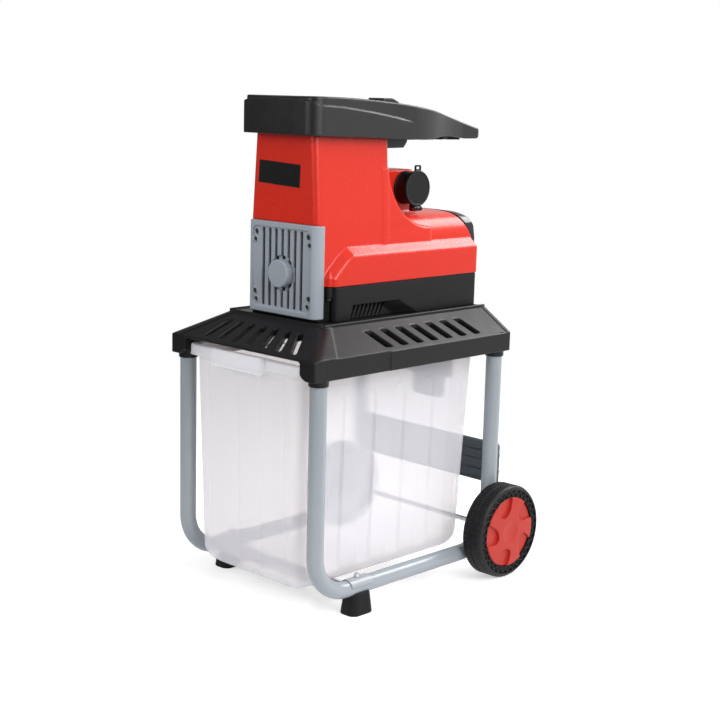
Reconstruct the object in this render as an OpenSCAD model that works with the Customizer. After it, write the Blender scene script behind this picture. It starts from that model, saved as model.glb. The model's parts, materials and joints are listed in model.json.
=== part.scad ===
// Electric roller shredder on a wheeled tube frame, with a slide-out collection box.
// Millimetres. X is across the machine, +Y points to the wheels, +Z is up.
// Lengths called stations are measured along Y from the front legs' axis.

/* [Tube frame] */
// Outside diameter of the frame tube
tube_d = 30; // [26:0.5:34]
// Wall of the frame tube
tube_wall = 1.5; // [1:0.1:2.5]
// Distance between the left and right leg centres
leg_track = 345; // [335:1:365]
// Distance between the front and rear leg centres
leg_span = 466; // [450:1:490]
// Height of the bottom rails' centre
rail_z = 49; // [46:0.5:56]
// Centre-line radius of the bends between legs and rails
bend_r = 75; // [62:1:85]
// Station of the front feet and of the strut above them
foot_station = 105; // [100:1:130]
// Length of a front foot along the rail
foot_l = 56; // [48:1:64]
// Width of a front foot
foot_w = 42; // [38:1:48]
// Length of the strut along the rail
strut_l = 54; // [40:1:60]
// Thickness of the strut's sheet
strut_t = 2.2; // [1.5:0.1:3]
// Height of the ribbed brace behind the rear legs
brace_h = 82; // [60:1:100]
// Height of the brace's lower edge
brace_z = 167; // [150:1:220]
// Depth of the brace
brace_t = 8; // [6:0.5:12]
// Number of cells in the brace's front
brace_cells = 4; // [3:1:5]

/* [Wheels] */
// Diameter of a wheel
wheel_d = 180; // [170:1:200]
// Width of a wheel
wheel_w = 46; // [40:1:54]
// Diameter of the axle
axle_d = 10; // [8:0.5:14]
// Diameter of the coloured hub cap
hub_cap_d = 135; // [120:1:140]
// Number of scoops in a hub cap
scoop_count = 5; // [4:1:7]
// Washer between a leg and its wheel
washer_t = 2.2; // [1.5:0.1:4]

/* [Deck] */
// How far the deck reaches past the leg centres at the sides
deck_side = 18.5; // [17.5:0.5:24]
// How far the deck reaches in front of the front legs
deck_front = 27; // [24:1:36]
// How far the deck reaches behind the rear legs
deck_back = 24; // [22:1:36]
// Height of the skirt's lower edge
deck_z = 434; // [425:1:450]
// Height of the skirt
skirt_h = 36; // [32:1:44]
// Rise of the sloped panels from the skirt to the top plate
deck_rise = 43; // [34:1:52]
// Height of the lip round the top plate
lip_h = 2; // [1:0.5:4]
// Wall of the deck
deck_wall = 3; // [2:0.25:4]
// Width of a vent slot in the sloped panels
slot_w = 9; // [6:0.5:12]
// Number of vent slots in each panel
slot_count = 7; // [5:1:8]
// Distance between the side slots
slot_pitch = 41; // [32:1:44]

/* [Housing] */
// Station of the bearing cover's front face
cover_station = 68; // [62:1:76]
// Width of the bearing cover
cover_w = 178; // [174:1:190]
// Height of the bearing cover
cover_h = 164; // [152:1:172]
// Thickness of the bearing cover
cover_t = 10; // [9:0.5:14]
// Number of cooling slots in the bearing cover
cover_slots = 7; // [5:1:8]
// Width of a cooling slot in the bearing cover
cover_slot_w = 7; // [4:0.5:9]
// Distance between the cooling slots
cover_slot_pitch = 16.4; // [12:0.2:17]
// Wall of the moulded housings
shell_wall = 3; // [2:0.25:4]
// Height of the lower housing
split_h = 62; // [56:1:66]
// Width of the lower housing and of the flare above it
flare_w = 208; // [200:1:220]
// Depth of the cooling vents in the lower housing's sides
vent_depth = 8; // [6:0.5:12]
// Height of the flare above the lower housing
flare_h = 52; // [46:1:60]
// Width of the motor hump
hump_w = 174; // [172:1:188]
// Height of the hump's crest above the top plate
hump_h = 179; // [174:1:190]
// Radius of the hump's crown
crown_r = 162; // [150:1:220]
// Station of the housing's rear wall
rear_station = 488; // [484:1:510]
// Depth of the feed column
column_d = 186; // [180:1:200]
// Width of the feed column where it leaves the hump
column_w = 174; // [168:1:175]
// Width of the feed column at its top
column_top_w = 153; // [148:1:160]
// Height of the feed column above the top plate
column_h = 335; // [325:1:350]
// Radius of the hollow between column and hump
saddle_r = 111; // [90:1:120]

/* [Hopper] */
// Width of the hopper
hopper_w = 196; // [188:1:210]
// Height of the hopper at its front
hopper_h = 66; // [58:1:76]
// Overhang of the hopper in front of the column
hopper_over = 24; // [16:1:30]
// Length of the hopper with its handle
hopper_l = 484; // [470:1:495]
// Width of the handle at its tip
handle_w = 118; // [90:1:130]
// Width of the feed opening
mouth_w = 160; // [140:1:170]
// Length of the feed opening
mouth_l = 215; // [190:1:222]
// Wall of the hopper
hopper_wall = 3; // [2:0.25:4]

/* [Cutting unit and drive] */
// Height of the cutter axis above the top plate
axis_h = 79; // [77:0.5:82]
// Diameter over the cutter's teeth
cutter_d = 84; // [76:1:86]
// Length of the cutter
cutter_l = 100; // [90:1:104]
// Number of cutter teeth
cutter_teeth = 8; // [6:1:10]
// Diameter of the cutter shaft
shaft_d = 25; // [22:0.5:28]
// Way that the pressure plate can travel
plate_travel = 4; // [2:0.5:5]
// Thickness of the pressure plate
plate_t = 14; // [12:0.5:15]
// Diameter of the adjusting screw
screw_d = 12; // [10:0.5:14]
// Diameter of the adjusting knob
knob_d = 44; // [36:1:50]
// Tooth size of the gears: pitch diameter over number of teeth
gear_module = 1.25; // [1.15:0.05:1.3]
// Teeth of the motor pinion and of the idler pinion
pinion_teeth = 8; // [8:1:10]
// Teeth of the idler gear and of the output gear
wheel_teeth = 64; // [60:1:66]
// Diameter of the motor
motor_d = 136; // [126:1:140]
// Length of the motor's lamination stack
stack_l = 100; // [80:1:104]
// Diameter of the motor shaft
motor_shaft_d = 15; // [14:0.5:17]

/* [Mains inlet and controls] */
// Diameter of the inlet's lid
lid_d = 67; // [62:1:70]
// Height of the inlet above the top plate
inlet_h = 224; // [218:1:230]
// Station of the inlet
inlet_station = 361; // [356:1:368]
// How far the inlet stands out of its pod
inlet_l = 28; // [26:0.5:30]
// Diameter of the on and off buttons
button_d = 22; // [18:0.5:24]
// Travel of the push buttons
button_travel = 3; // [2:0.25:3.5]
// Diameter of the direction knob
selector_d = 32; // [26:1:36]

/* [Collection box] */
// Wall of the box
box_wall = 2.5; // [2:0.25:3.5]
// Height of the box's floor above the ground
box_z = 42; // [41:0.5:60]
// Height of the hanging rim
rim_h = 24; // [18:1:28]
// How far the rim's top lies above the deck's lower edge
rim_above = 21; // [16:1:24]
// Width of the channel between rim and wall
rim_w = 10; // [8:0.5:13]
// How far the box narrows towards its floor on each side
box_draft = 8; // [4:0.5:14]
// How far the front rim bows forward
rim_bow = 22; // [14:1:26]
// Number of flutes in each side wall
flute_count = 5; // [3:1:5]
// Width of a flute
flute_w = 38; // [30:1:44]
// Depth of a flute
flute_depth = 6; // [4:0.5:8]

/* [Fits] */
// Gap round shafts and pins that turn
run_fit = 0.05; // [0.02:0.01:0.1]
// Gap round buttons and other loose moulded pieces
loose_fit = 0.3; // [0.2:0.05:0.5]
// Gap between the box and what it slides along
slide_fit = 2; // [1:0.25:3]

/* [Hidden] */
$fn = 64;
red = [0.86, 0.12, 0.09];
black = [0.10, 0.10, 0.11];
grey = [0.62, 0.66, 0.71];
steel = [0.72, 0.73, 0.75];
copper = [0.72, 0.42, 0.20];
milky = [0.93, 0.93, 0.95];
eps = 0.01;

tube_r = tube_d / 2;
leg_x = leg_track / 2;
axle_z = wheel_d / 2;
bend_z = rail_z + bend_r;
axle_station = leg_span - bend_r + sqrt(bend_r * bend_r - (bend_z - axle_z) * (bend_z - axle_z));
wheel_x = leg_x + tube_r + washer_t + loose_fit;
wheel_out = wheel_x + wheel_w;
hub_r = 14;
cap_proud = 2;

deck_half = leg_x + deck_side;
deck_y0 = -deck_front;
deck_y1 = leg_span + deck_back;
skirt_z = deck_z + skirt_h;
plate_z = skirt_z + deck_rise;
deck_corner = 20;
socket_d = tube_d + 6;
socket_wall = 4.5;
socket_z = deck_z - 4;
leg_top = skirt_z;

cover_back = cover_station + cover_t;
cover_z = plate_z + 5;
cover_top = cover_z + cover_h;
cover_wrap = 22;
head_depth = cover_t - 2;
axis_z = plate_z + axis_h;
split_z = plate_z + split_h;
flare_z = split_z + flare_h;
flare_top = flare_z + 15;
flare_half = flare_w / 2;
flare_front = cover_back + 26;
pillar_d = 11;
pillar_h = 16;
hump_half = hump_w / 2;
crest_z = plate_z + hump_h;
crown_z = crest_z - crown_r;
column_front = cover_station + 4;
column_rear = column_front + column_d;
column_top = plate_z + column_h;
column_corner = 12;
saddle_z = plate_z + 265;
saddle_y = column_rear - 1 + saddle_r;
panel_t = 14;
panel_half = hump_half - 3;
panel_z0 = split_z + 17;
panel_z1 = flare_top;
panel_top_y = rear_station - 32;

hopper_front = column_front - hopper_over;
hopper_z = column_top - 12;
hopper_top = hopper_z + hopper_h;
hopper_half = hopper_w / 2;
hopper_rear = hopper_front + hopper_l;
mouth_y0 = hopper_front + 24;
throat_half = column_top_w / 2 - 16;
throat_y0 = column_front + 20;
throat_y1 = column_rear - 44;
ledge = 6;

frame_y0 = cover_back;
chamber_y0 = frame_y0 + 6;
chamber_y1 = chamber_y0 + cutter_l + 8;
frame_y1 = chamber_y1 + 8;
frame_z0 = axis_z - 60;
frame_z1 = axis_z + 60;
cutter_r = cutter_d / 2;
chamber_x1 = cutter_r + 4;
plate_x1 = -(cutter_r + 0.6 + plate_travel);
plate_x0 = plate_x1 - plate_t;
chamber_x0 = plate_x0 - 6;
frame_wall = 10;
knob_x1 = -flare_half - loose_fit;
knob_x0 = knob_x1 - 16;
adjuster_y = (chamber_y0 + chamber_y1) / 2;

gear_r = gear_module * wheel_teeth / 2;
gear_gap = gear_module * (pinion_teeth + wheel_teeth) / 2;
idler_z = axis_z + gear_gap;
gearbox_y0 = frame_y1;
gearbox_wall = 5;
gearbox_r = gear_r + 1.5 * gear_module + gearbox_wall + 1;
bearing_t = 11;
gear_t = 14;
stage_one_y = gearbox_y0 + 16;
stage_two_y = stage_one_y + gear_t + 6;
gearbox_y1 = stage_two_y + gear_t + 6;
shield_t = 12;
shield_rim = 22;
motor_r = motor_d / 2;
stack_y0 = gearbox_y1 + shield_t + shield_rim;
stack_y1 = stack_y0 + stack_l;
shield_y1 = stack_y1 + shield_rim;
rotor_r = 0.52 * motor_r;
fan_y0 = shield_y1 + shield_t + 6;
fan_t = 16;
small_bearing_d = 35;
big_bearing_d = 42;
idler_d = 10;

pod_x = 24;
inlet_z = plate_z + inlet_h;
inlet_d = lid_d - 7;
inlet_x1 = pod_x + inlet_l;
lid_x0 = inlet_x1 + 0.4;
lid_t = 5.6;
hinge_x = lid_x0 + 3.6;
hinge_z = inlet_z - lid_d / 2 - 4;
hinge_r = 4.5;
hinge_pin_d = 3;
switch_y0 = rear_station - 26;
switch_half = hump_half - 15;
control_z = (panel_z0 + panel_z1) / 2;
on_x = -58;
off_x = -30;
selector_x = 18;
reset_x = 60;
reset_d = 12;

rim_half = leg_x - tube_r - socket_wall - slide_fit;
rim_top = deck_z + rim_above;
rim_z = rim_top - rim_h;
box_half = rim_half - rim_w;
rim_y0 = -12;
rim_y1 = leg_span - 14;
box_y0 = rim_y0 + rim_w;
box_y1 = rim_y1 - 4;
grip_t = 3;
box_slope = 18;
runner_t = 2.5;
runner_y0 = tube_r + 5;
runner_y1 = leg_span - tube_r - 5;
lock_y0 = rim_y1 + 4;
lock_y1 = deck_y1 - 12;
lock_x = 10;
lock_half = 52;
lock_stem = 33;
lock_drop = 70;
lock_reach = 113;
plunger_d = 8;
plunger_z = rim_top - rim_h / 2;
plunger_x = lock_x;

strut_drop = 14;
strut_z = box_z - 9;
bolt_d = 6;

front_reach = rim_y0 - rim_bow - grip_t;
rear_reach = axle_station + wheel_d / 2;
mid_station = (front_reach + rear_reach) / 2;

// Moves a piece drawn in stations so that the machine's footprint is centred on the origin.
module placed() {
    translate([0, -mid_station, 0]) children();
}

// Extrudes a (Y, Z) outline along X.
module along_x(x0, x1) {
    translate([x0, 0, 0]) rotate([90, 0, 90]) linear_extrude(x1 - x0) children();
}

// Extrudes an (X, Z) outline along Y.
module along_y(y0, y1) {
    translate([0, y1, 0]) rotate([90, 0, 0]) linear_extrude(y1 - y0) children();
}

module rod_x(x0, x1, d, y, z) {
    translate([x0, y, z]) rotate([0, 90, 0]) cylinder(d = d, h = x1 - x0);
}

module rod_y(y0, y1, d, x, z) {
    translate([x, y0, z]) rotate([-90, 0, 0]) cylinder(d = d, h = y1 - y0);
}

module ring_y(y0, y1, outer, inner, x, z) {
    difference() {
        rod_y(y0, y1, outer, x, z);
        rod_y(y0 - 1, y1 + 1, inner, x, z);
    }
}

module block(x0, x1, y0, y1, z0, z1) {
    translate([x0, y0, z0]) cube([x1 - x0, y1 - y0, z1 - z0]);
}

// Rectangle with round corners, from (x0, y0) to (x1, y1).
module round_rect(x0, x1, y0, y1, r) {
    translate([x0 + r, y0]) square([x1 - x0 - 2 * r, y1 - y0]);
    translate([x0, y0 + r]) square([x1 - x0, y1 - y0 - 2 * r]);
    for (x = [x0 + r, x1 - r], y = [y0 + r, y1 - r]) translate([x, y]) circle(r);
}

// Slot with round ends between two points.
module slot_2d(from, to, w) {
    reach = to - from;
    length = norm(reach);
    translate(from) rotate(atan2(reach[1], reach[0])) {
        translate([0, -w / 2]) square([length, w]);
        circle(d = w);
        translate([length, 0]) circle(d = w);
    }
}

function bezier(a, b, c, d, n) = [
    for (i = [0 : n])
        let (t = i / n, s = 1 - t)
        s * s * s * a + 3 * s * s * t * b + 3 * s * t * t * c + t * t * t * d
];

function arc(centre, r, from, to, n) = [
    for (i = [0 : n])
        let (a = from + (to - from) * i / n)
        centre + r * [cos(a), sin(a)]
];

// Tube frame

module tube_path(d, past_end) {
    rod_y(bend_r, leg_span - bend_r, d, 0, rail_z);
    for (y = [0, leg_span]) translate([0, y, bend_z]) cylinder(d = d, h = leg_top - bend_z + past_end);
    for (end = [[bend_r, 180], [leg_span - bend_r, 270]])
        translate([0, end[0], bend_z]) rotate([90, 0, 90]) rotate([0, 0, end[1]])
            rotate_extrude(angle = 90) translate([bend_r, 0]) circle(d = d);
}

module leg_frame(side) {
    color(grey) placed() translate([side * leg_x, 0, 0]) difference() {
        tube_path(tube_d, 0);
        tube_path(tube_d - 2 * tube_wall, 1);
        rod_x(-tube_d, tube_d, axle_d + 2 * run_fit, axle_station, axle_z);
        translate([0, foot_station, rail_z - tube_d]) cylinder(d = bolt_d + 2 * run_fit, h = 2 * tube_d);
    }
}

module left_leg_frame() {
    leg_frame(-1);
}

module right_leg_frame() {
    leg_frame(1);
}

// Half of the strut's bent outline: saddle over the rail, step, and drop below the box.
module strut_half() {
    saddle_r1 = tube_r + loose_fit;
    translate([leg_x, rail_z]) difference() {
        circle(saddle_r1 + strut_t);
        circle(saddle_r1);
        translate([-tube_d, -2 * tube_d]) square([2 * tube_d, 2 * tube_d]);
        translate([-2 * tube_d, -tube_d]) square([2 * tube_d, 3 * tube_d]);
    }
    top = rail_z + saddle_r1;
    step_x = leg_x - tube_r - strut_drop;
    translate([step_x, top]) square([leg_x - step_x, strut_t]);
    translate([step_x, strut_z - strut_t]) square([strut_t, top + strut_t - (strut_z - strut_t)]);
    translate([0, strut_z - strut_t]) square([step_x + strut_t, strut_t]);
}

module front_strut() {
    color(steel) placed() difference() {
        along_y(foot_station - strut_l / 2, foot_station + strut_l / 2) {
            strut_half();
            mirror([1, 0]) strut_half();
        }
        for (x = [-leg_x, leg_x])
            translate([x, foot_station, rail_z]) cylinder(d = bolt_d + 2 * run_fit, h = tube_d);
    }
}

module foot(side) {
    top_z = rail_z - tube_r + 7;
    taper = 4;
    color(black) placed() translate([side * leg_x, foot_station, 0]) difference() {
        hull() {
            linear_extrude(1) round_rect(-foot_w / 2, foot_w / 2, -foot_l / 2, foot_l / 2, foot_w / 2 - 1, $fn = 32);
            translate([0, 0, top_z - 1]) linear_extrude(1)
                round_rect(taper - foot_w / 2, foot_w / 2 - taper, taper - foot_l / 2, foot_l / 2 - taper,
                           foot_w / 2 - taper - 1, $fn = 32);
        }
        rod_y(-foot_l, foot_l, tube_d + 2 * loose_fit, 0, rail_z);
        translate([0, 0, -1]) cylinder(d = bolt_d + 2 * run_fit, h = top_z + 2);
        translate([0, 0, -1]) cylinder(d = 2.4 * bolt_d, h = 9);
    }
}

module left_foot() {
    foot(-1);
}

module right_foot() {
    foot(1);
}

module foot_bolts() {
    nut_z = rail_z + tube_r + loose_fit + strut_t;
    color(steel) placed() for (x = [-leg_x, leg_x]) translate([x, foot_station, 0]) {
        translate([0, 0, 4]) cylinder(d = 1.8 * bolt_d, h = 4);
        translate([0, 0, 4]) cylinder(d = bolt_d, h = nut_z + 3);
        translate([0, 0, nut_z]) cylinder(d = 1.9 * bolt_d, h = 0.85 * bolt_d, $fn = 6);
    }
}

module rear_brace() {
    y0 = leg_span + tube_r;
    half = leg_x + 7;
    cell_half = leg_x - 1.5 * tube_r;
    rib = 2.8;
    back = 2.5;
    pitch = (brace_h - 2 * rib) / brace_cells;
    color(grey) placed() difference() {
        along_y(y0, y0 + brace_t) round_rect(-half, half, brace_z, brace_z + brace_h, 8);
        along_y(y0 - 1, y0 + brace_t - back) for (i = [0 : brace_cells - 1])
            round_rect(-cell_half, cell_half, brace_z + 1.5 * rib + i * pitch,
                       brace_z + 0.5 * rib + (i + 1) * pitch, rib);
        for (x = [-leg_x, leg_x], z = [0.3, 0.7])
            rod_y(y0 - 1, y0 + 20, bolt_d + 2 * run_fit, x, brace_z + z * brace_h);
    }
}

module brace_screws() {
    y0 = leg_span + tube_r;
    color(steel) placed() for (x = [-leg_x, leg_x], z = [0.3, 0.7]) {
        rod_y(y0 + 0.5, y0 + brace_t + 1, bolt_d, x, brace_z + z * brace_h);
        rod_y(y0 + brace_t, y0 + brace_t + 3, 2 * bolt_d, x, brace_z + z * brace_h);
    }
}

// Wheels

module wheel_axle() {
    color(steel) placed() rod_x(4 - wheel_out, wheel_out - 4, axle_d, axle_station, axle_z);
}

module axle_washers() {
    color(steel) placed() for (side = [-1, 1]) translate([side * (leg_x + tube_r + washer_t / 2), 0, 0])
        difference() {
            rod_x(-washer_t / 2, washer_t / 2, 2.2 * axle_d, axle_station, axle_z);
            rod_x(-washer_t, washer_t, axle_d + 2 * run_fit, axle_station, axle_z);
        }
}

module axle_clips() {
    color(steel) placed() for (side = [-1, 1]) translate([side * (wheel_out - 6), 0, 0]) difference() {
        rod_x(-1.5, 1.5, 2 * axle_d, axle_station, axle_z);
        rod_x(-2, 2, axle_d + 2 * run_fit, axle_station, axle_z);
    }
}

// Puts a revolved piece, drawn with its axis on Z, on one end of the axle.
module on_axle(side) {
    placed() translate([0, axle_station, axle_z]) mirror([side < 0 ? 1 : 0, 0, 0])
        translate([wheel_x, 0, 0]) rotate([0, 90, 0]) children();
}

module wheel(side) {
    r = wheel_d / 2;
    seat_r = hub_cap_d / 2 + loose_fit;
    web_0 = 0.36 * wheel_w;
    web_1 = web_0 + 4;
    groove = 2;
    mid = wheel_w / 2;
    profile = [
        [axle_d / 2 + run_fit, 0], [hub_r, 0], [hub_r, web_0], [seat_r - 2, web_0], [seat_r - 2, 0],
        [r - 5, 0], [r, 6], [r, mid - 3], [r - groove, mid - 2], [r - groove, mid + 2], [r, mid + 3],
        [r, wheel_w - 6], [r - 5, wheel_w], [seat_r, wheel_w], [seat_r, web_1],
        [hub_r, web_1], [hub_r, wheel_w - 8], [axle_d / 2 + run_fit, wheel_w - 8]
    ];
    rib_count = 10;
    color(black) on_axle(side) {
        rotate_extrude() polygon(profile);
        for (i = [0 : rib_count - 1]) rotate(360 * i / rib_count)
            translate([hub_r - 1, -1.5, 3]) cube([seat_r + 1 - hub_r, 3, web_0 - 2]);
    }
}

module left_wheel() {
    wheel(-1);
}

module right_wheel() {
    wheel(1);
}

module hub_cap(side) {
    r = hub_cap_d / 2;
    back = 0.36 * wheel_w + 8;
    face = wheel_w + cap_proud;
    scoop_r = 0.26 * r;
    scoop_at = 0.755 * r;
    scoop_depth = 6.4;
    scoop_turn = 122;
    scoop_lean = 5;
    dish = 2;
    color(red) on_axle(side) difference() {
        rotate_extrude() polygon([
            [0, wheel_w - 3], [hub_r, wheel_w - 3], [hub_r + loose_fit, back], [r, back],
            [r, face - 4], [r - 3, face - 1], [0.36 * r, face], [0.1 * r, face - dish], [0, face - dish]
        ]);
        for (i = [0 : scoop_count - 1])
            rotate(scoop_turn + 360 * i / scoop_count) translate([0, 0, face - scoop_depth]) {
                rotate(scoop_lean) translate([scoop_at, 0, 0]) cylinder(r = scoop_r, h = scoop_depth + 1);
                translate([scoop_at, -scoop_r, 0]) cube([r, 2 * scoop_r, scoop_depth + 1]);
            }
    }
}

module left_hub_cap() {
    hub_cap(-1);
}

module right_hub_cap() {
    hub_cap(1);
}

// Deck

module deck_outline(t) {
    round_rect(t - deck_half, deck_half - t, deck_y0 + t, deck_y1 - t, deck_corner - t, $fn = 32);
}

// Edge of the top plate, which carries a raised lip.
module lip_outline(t) {
    lip_half = flare_half + 19;
    round_rect(t - lip_half, lip_half - t, cover_station - 12 + t, deck_y1 + 2 - t, 8, $fn = 32);
}

module deck_form(t, z0) {
    translate([0, 0, z0]) linear_extrude(skirt_z - z0) deck_outline(t);
    hull() {
        translate([0, 0, skirt_z - 1]) linear_extrude(1) deck_outline(t);
        translate([0, 0, plate_z - t - 1]) linear_extrude(1) lip_outline(t);
    }
}

module deck_slots() {
    in_x = deck_half - 45;
    out_x = deck_half - 10;
    rake = 42;
    first = cover_station + 65;
    for (i = [0 : slot_count - 1], side = [-1, 1]) {
        y = first + i * slot_pitch;
        slot_2d([side * in_x, y], [side * out_x, y + rake], slot_w);
    }
    for (i = [0 : slot_count - 1]) {
        share = 2 * i / (slot_count - 1) - 1;
        slot_2d([share * (in_x - 52), deck_y0 + 66], [share * (in_x - 26), deck_y0 + 17], slot_w);
    }
}

// L-shaped runner that carries the hanging rim of the box.
module box_runner(side) {
    shelf_z = rim_z - loose_fit;
    web_x = rim_half + 0.75 * slide_fit;
    x0 = rim_half - 0.6 * rim_w;
    mirror([side < 0 ? 1 : 0, 0, 0]) {
        block(web_x, web_x + runner_t, runner_y0, runner_y1, shelf_z - runner_t, plate_z - deck_wall);
        block(x0, web_x + runner_t, runner_y0, runner_y1, shelf_z - runner_t, shelf_z);
    }
}

module deck() {
    color(black) placed() difference() {
        union() {
            difference() {
                deck_form(0, deck_z);
                deck_form(deck_wall, deck_z - 1);
                translate([0, 0, deck_z]) linear_extrude(plate_z - deck_z + 1) deck_slots();
                block(-rim_half - slide_fit, rim_half + slide_fit, deck_y0 - 1, deck_y0 + deck_corner + 4,
                      deck_z - 1, skirt_z - 6);
            }
            translate([0, 0, plate_z - 1]) linear_extrude(1 + lip_h) difference() {
                lip_outline(0);
                lip_outline(3);
            }
            intersection() {
                for (x = [-leg_x, leg_x], y = [0, leg_span])
                    translate([x, y, socket_z]) cylinder(d = socket_d, h = leg_top + 4 - socket_z);
                difference() {
                    deck_form(0, socket_z);
                    block(-rim_half - slide_fit, rim_half + slide_fit, deck_y0 - 1, deck_y1 + 1,
                          socket_z - 1, plate_z);
                }
            }
            for (side = [-1, 1]) intersection() {
                box_runner(side);
                deck_form(0, rim_z - rim_h);
            }
        }
        for (x = [-leg_x, leg_x], y = [0, leg_span])
            translate([x, y, socket_z - 1]) cylinder(d = tube_d + 2 * run_fit, h = leg_top - socket_z + 1);
        block(chamber_x0, chamber_x1, chamber_y0, chamber_y1, plate_z - 2 * deck_wall, plate_z + 1);
    }
}

// Housings

module lower_outline(t) {
    round_rect(t - column_w / 2, column_w / 2 - t, cover_back + t, flare_front + 40, 4);
    round_rect(t - flare_half, flare_half - t, flare_front + t, rear_station - t, column_corner - t);
}

// Outline of the recessed cooling vent in the side of the lower housing, in the (Y, Z) plane, grown by t.
module vent_outline(t) {
    y0 = flare_front + 40;
    polygon([
        [y0 - 6 - 1.2 * t, plate_z + shell_wall], [y0 + 3 - 1.2 * t, plate_z + 27 + t],
        [y0 + 126 + 0.6 * t, plate_z + 27 + t], [y0 + 176 + 2 * t, plate_z + shell_wall]
    ]);
}

// Slanted air slots in the back of the vent.
module vent_slots() {
    slot_count_vent = 9;
    pitch = 11.5;
    y0 = flare_front + 43;
    for (i = [0 : slot_count_vent - 1])
        slot_2d([y0 + i * pitch, plate_z + 7], [y0 + 7 + i * pitch, plate_z + 23], 6);
}

// Pair of screw pillars beside the column, each with a pointed tip where one is asked for.
module pillar(z0, z1, d, tip = 0) {
    h = z1 - z0;
    tip_r = tip > 0 ? 0.5 : d / 2;
    for (x = [-column_w / 2 - 5, column_w / 2 + 5]) translate([x, flare_front - 5, z0])
        rotate_extrude() polygon([[0, 0], [d / 2, 0], [d / 2, h], [tip_r, h + tip], [0, h + tip]]);
}

module frame_window() {
    block(chamber_x0 - frame_wall - 1, chamber_x1 + frame_wall + 1, cover_back - 1, cover_back + shell_wall + 2,
          frame_z0 - 1, frame_z1 + 1);
}

module lower_housing() {
    color(black) placed() difference() {
        union() {
            translate([0, 0, plate_z]) linear_extrude(split_h) difference() {
                lower_outline(0);
                lower_outline(shell_wall);
            }
            for (side = [0, 1]) mirror([side, 0, 0])
                along_x(flare_half - vent_depth - shell_wall, flare_half) vent_outline(shell_wall);
            pillar(split_z - 20, split_z, pillar_d + 1);
        }
        for (side = [0, 1]) mirror([side, 0, 0]) {
            along_x(flare_half - vent_depth, flare_half + 1) vent_outline(0);
            along_x(flare_half - 2 * vent_depth, flare_half) vent_slots();
        }
        frame_window();
        pillar(split_z - 21, split_z + 1, 4.4);
    }
}

// Floor inside the lower housing, with the discharge opening and the motor's cradles.
module housing_floor() {
    cradle_r = motor_r + 2 + loose_fit;
    cradle_half = 50;
    cradle_h = 40;
    color(black) placed() {
        translate([0, 0, plate_z]) linear_extrude(shell_wall) difference() {
            lower_outline(shell_wall + loose_fit);
            translate([chamber_x0, chamber_y0]) square([chamber_x1 - chamber_x0, chamber_y1 - chamber_y0]);
        }
        for (y = [gearbox_y1 + 1, shield_y1 + 1]) difference() {
            block(-cradle_half, cradle_half, y, y + shield_t - 2, plate_z + shell_wall - eps, plate_z + cradle_h);
            rod_y(y - 1, y + shield_t, 2 * cradle_r, 0, axis_z);
        }
    }
}

module column_form(t) {
    low = column_w / 2 - t;
    high = column_top_w / 2 - t;
    y0 = t > 0 ? cover_back + t : column_front;
    y1 = column_rear - t;
    hull() {
        translate([0, 0, split_z - (t > 0 ? 1 : 0)]) linear_extrude(1) round_rect(-low, low, y0, y1, column_corner - t, $fn = 32);
        translate([0, 0, cover_top]) linear_extrude(1) round_rect(-low, low, y0, y1, column_corner - t, $fn = 32);
        translate([0, 0, column_top - 1 + (t > 0 ? 2 : 0)]) linear_extrude(1)
            round_rect(-high, high, y0, y1, column_corner - t, $fn = 32);
    }
}

// Hollow flank that leads from the column's rear down to the hump.
module saddle_form(t) {
    low = column_w / 2 - t;
    rise = (saddle_z - cover_top) / (column_top - cover_top);
    high = low - rise * (column_w - column_top_w) / 2;
    intersection() {
        along_x(-low, low) difference() {
            translate([column_rear - 20, split_z]) square([saddle_y - column_rear + 20 - 30, saddle_z - split_z - t]);
            translate([saddle_y, saddle_z]) circle(saddle_r + t);
        }
        along_y(column_rear - 30, saddle_y) polygon([
            [-low, split_z - 1], [low, split_z - 1], [low, cover_top], [high, saddle_z], [-high, saddle_z],
            [-low, cover_top]
        ]);
    }
}

module crown_outline(t) {
    intersection() {
        translate([t - hump_half, split_z - 1]) square([hump_w - 2 * t, hump_h]);
        translate([0, crown_z]) circle(crown_r - t, $fn = 128);
    }
}

module hump_form(t) {
    intersection() {
        along_x(-hump_half, hump_half) polygon([
            [column_rear - 20, split_z - (t > 0 ? 1 : 0)], [column_rear - 20, crest_z], [panel_top_y - t, crest_z],
            [rear_station - t, panel_z1], [rear_station - t, split_z - (t > 0 ? 1 : 0)]
        ]);
        along_y(column_rear - 21, rear_station + 1) crown_outline(t);
    }
}

// Widened lower part of the red housing with its outward bevel, cut slantwise at the front.
module flare_form(t) {
    z0 = split_z - (t > 0 ? 1 : 0);
    lean = 44;
    hull() {
        along_x(t - flare_half, flare_half - t) polygon([
            [flare_front + t, z0], [flare_front + t, split_z + 13], [flare_front + lean + t, flare_z],
            [rear_station - t, flare_z], [rear_station - t, z0]
        ]);
        along_x(t - hump_half, hump_half - t) polygon([
            [flare_front - 6 + t, z0], [flare_front - 6 + t, split_z + 25],
            [flare_front + lean + t, flare_top - t], [rear_station - t, flare_top - t], [rear_station - t, z0]
        ]);
    }
}

// Pod behind the column that carries the mains inlet on its right face.
module pod_form(t) {
    round_r = 22;
    y1 = inlet_station + inlet_d / 2 + 5 - t;
    z1 = inlet_z + inlet_d / 2 + 4 - t;
    along_x(t - pod_x - 4, pod_x - t) {
        translate([column_rear - 6 + 4 * t, split_z]) square([y1 - round_r - column_rear + 6 - 4 * t, z1 - split_z]);
        translate([column_rear - 6 + 4 * t, split_z]) square([y1 - column_rear + 6 - 4 * t, z1 - round_r - split_z]);
        translate([y1 - round_r, z1 - round_r]) circle(round_r);
    }
}

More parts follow.
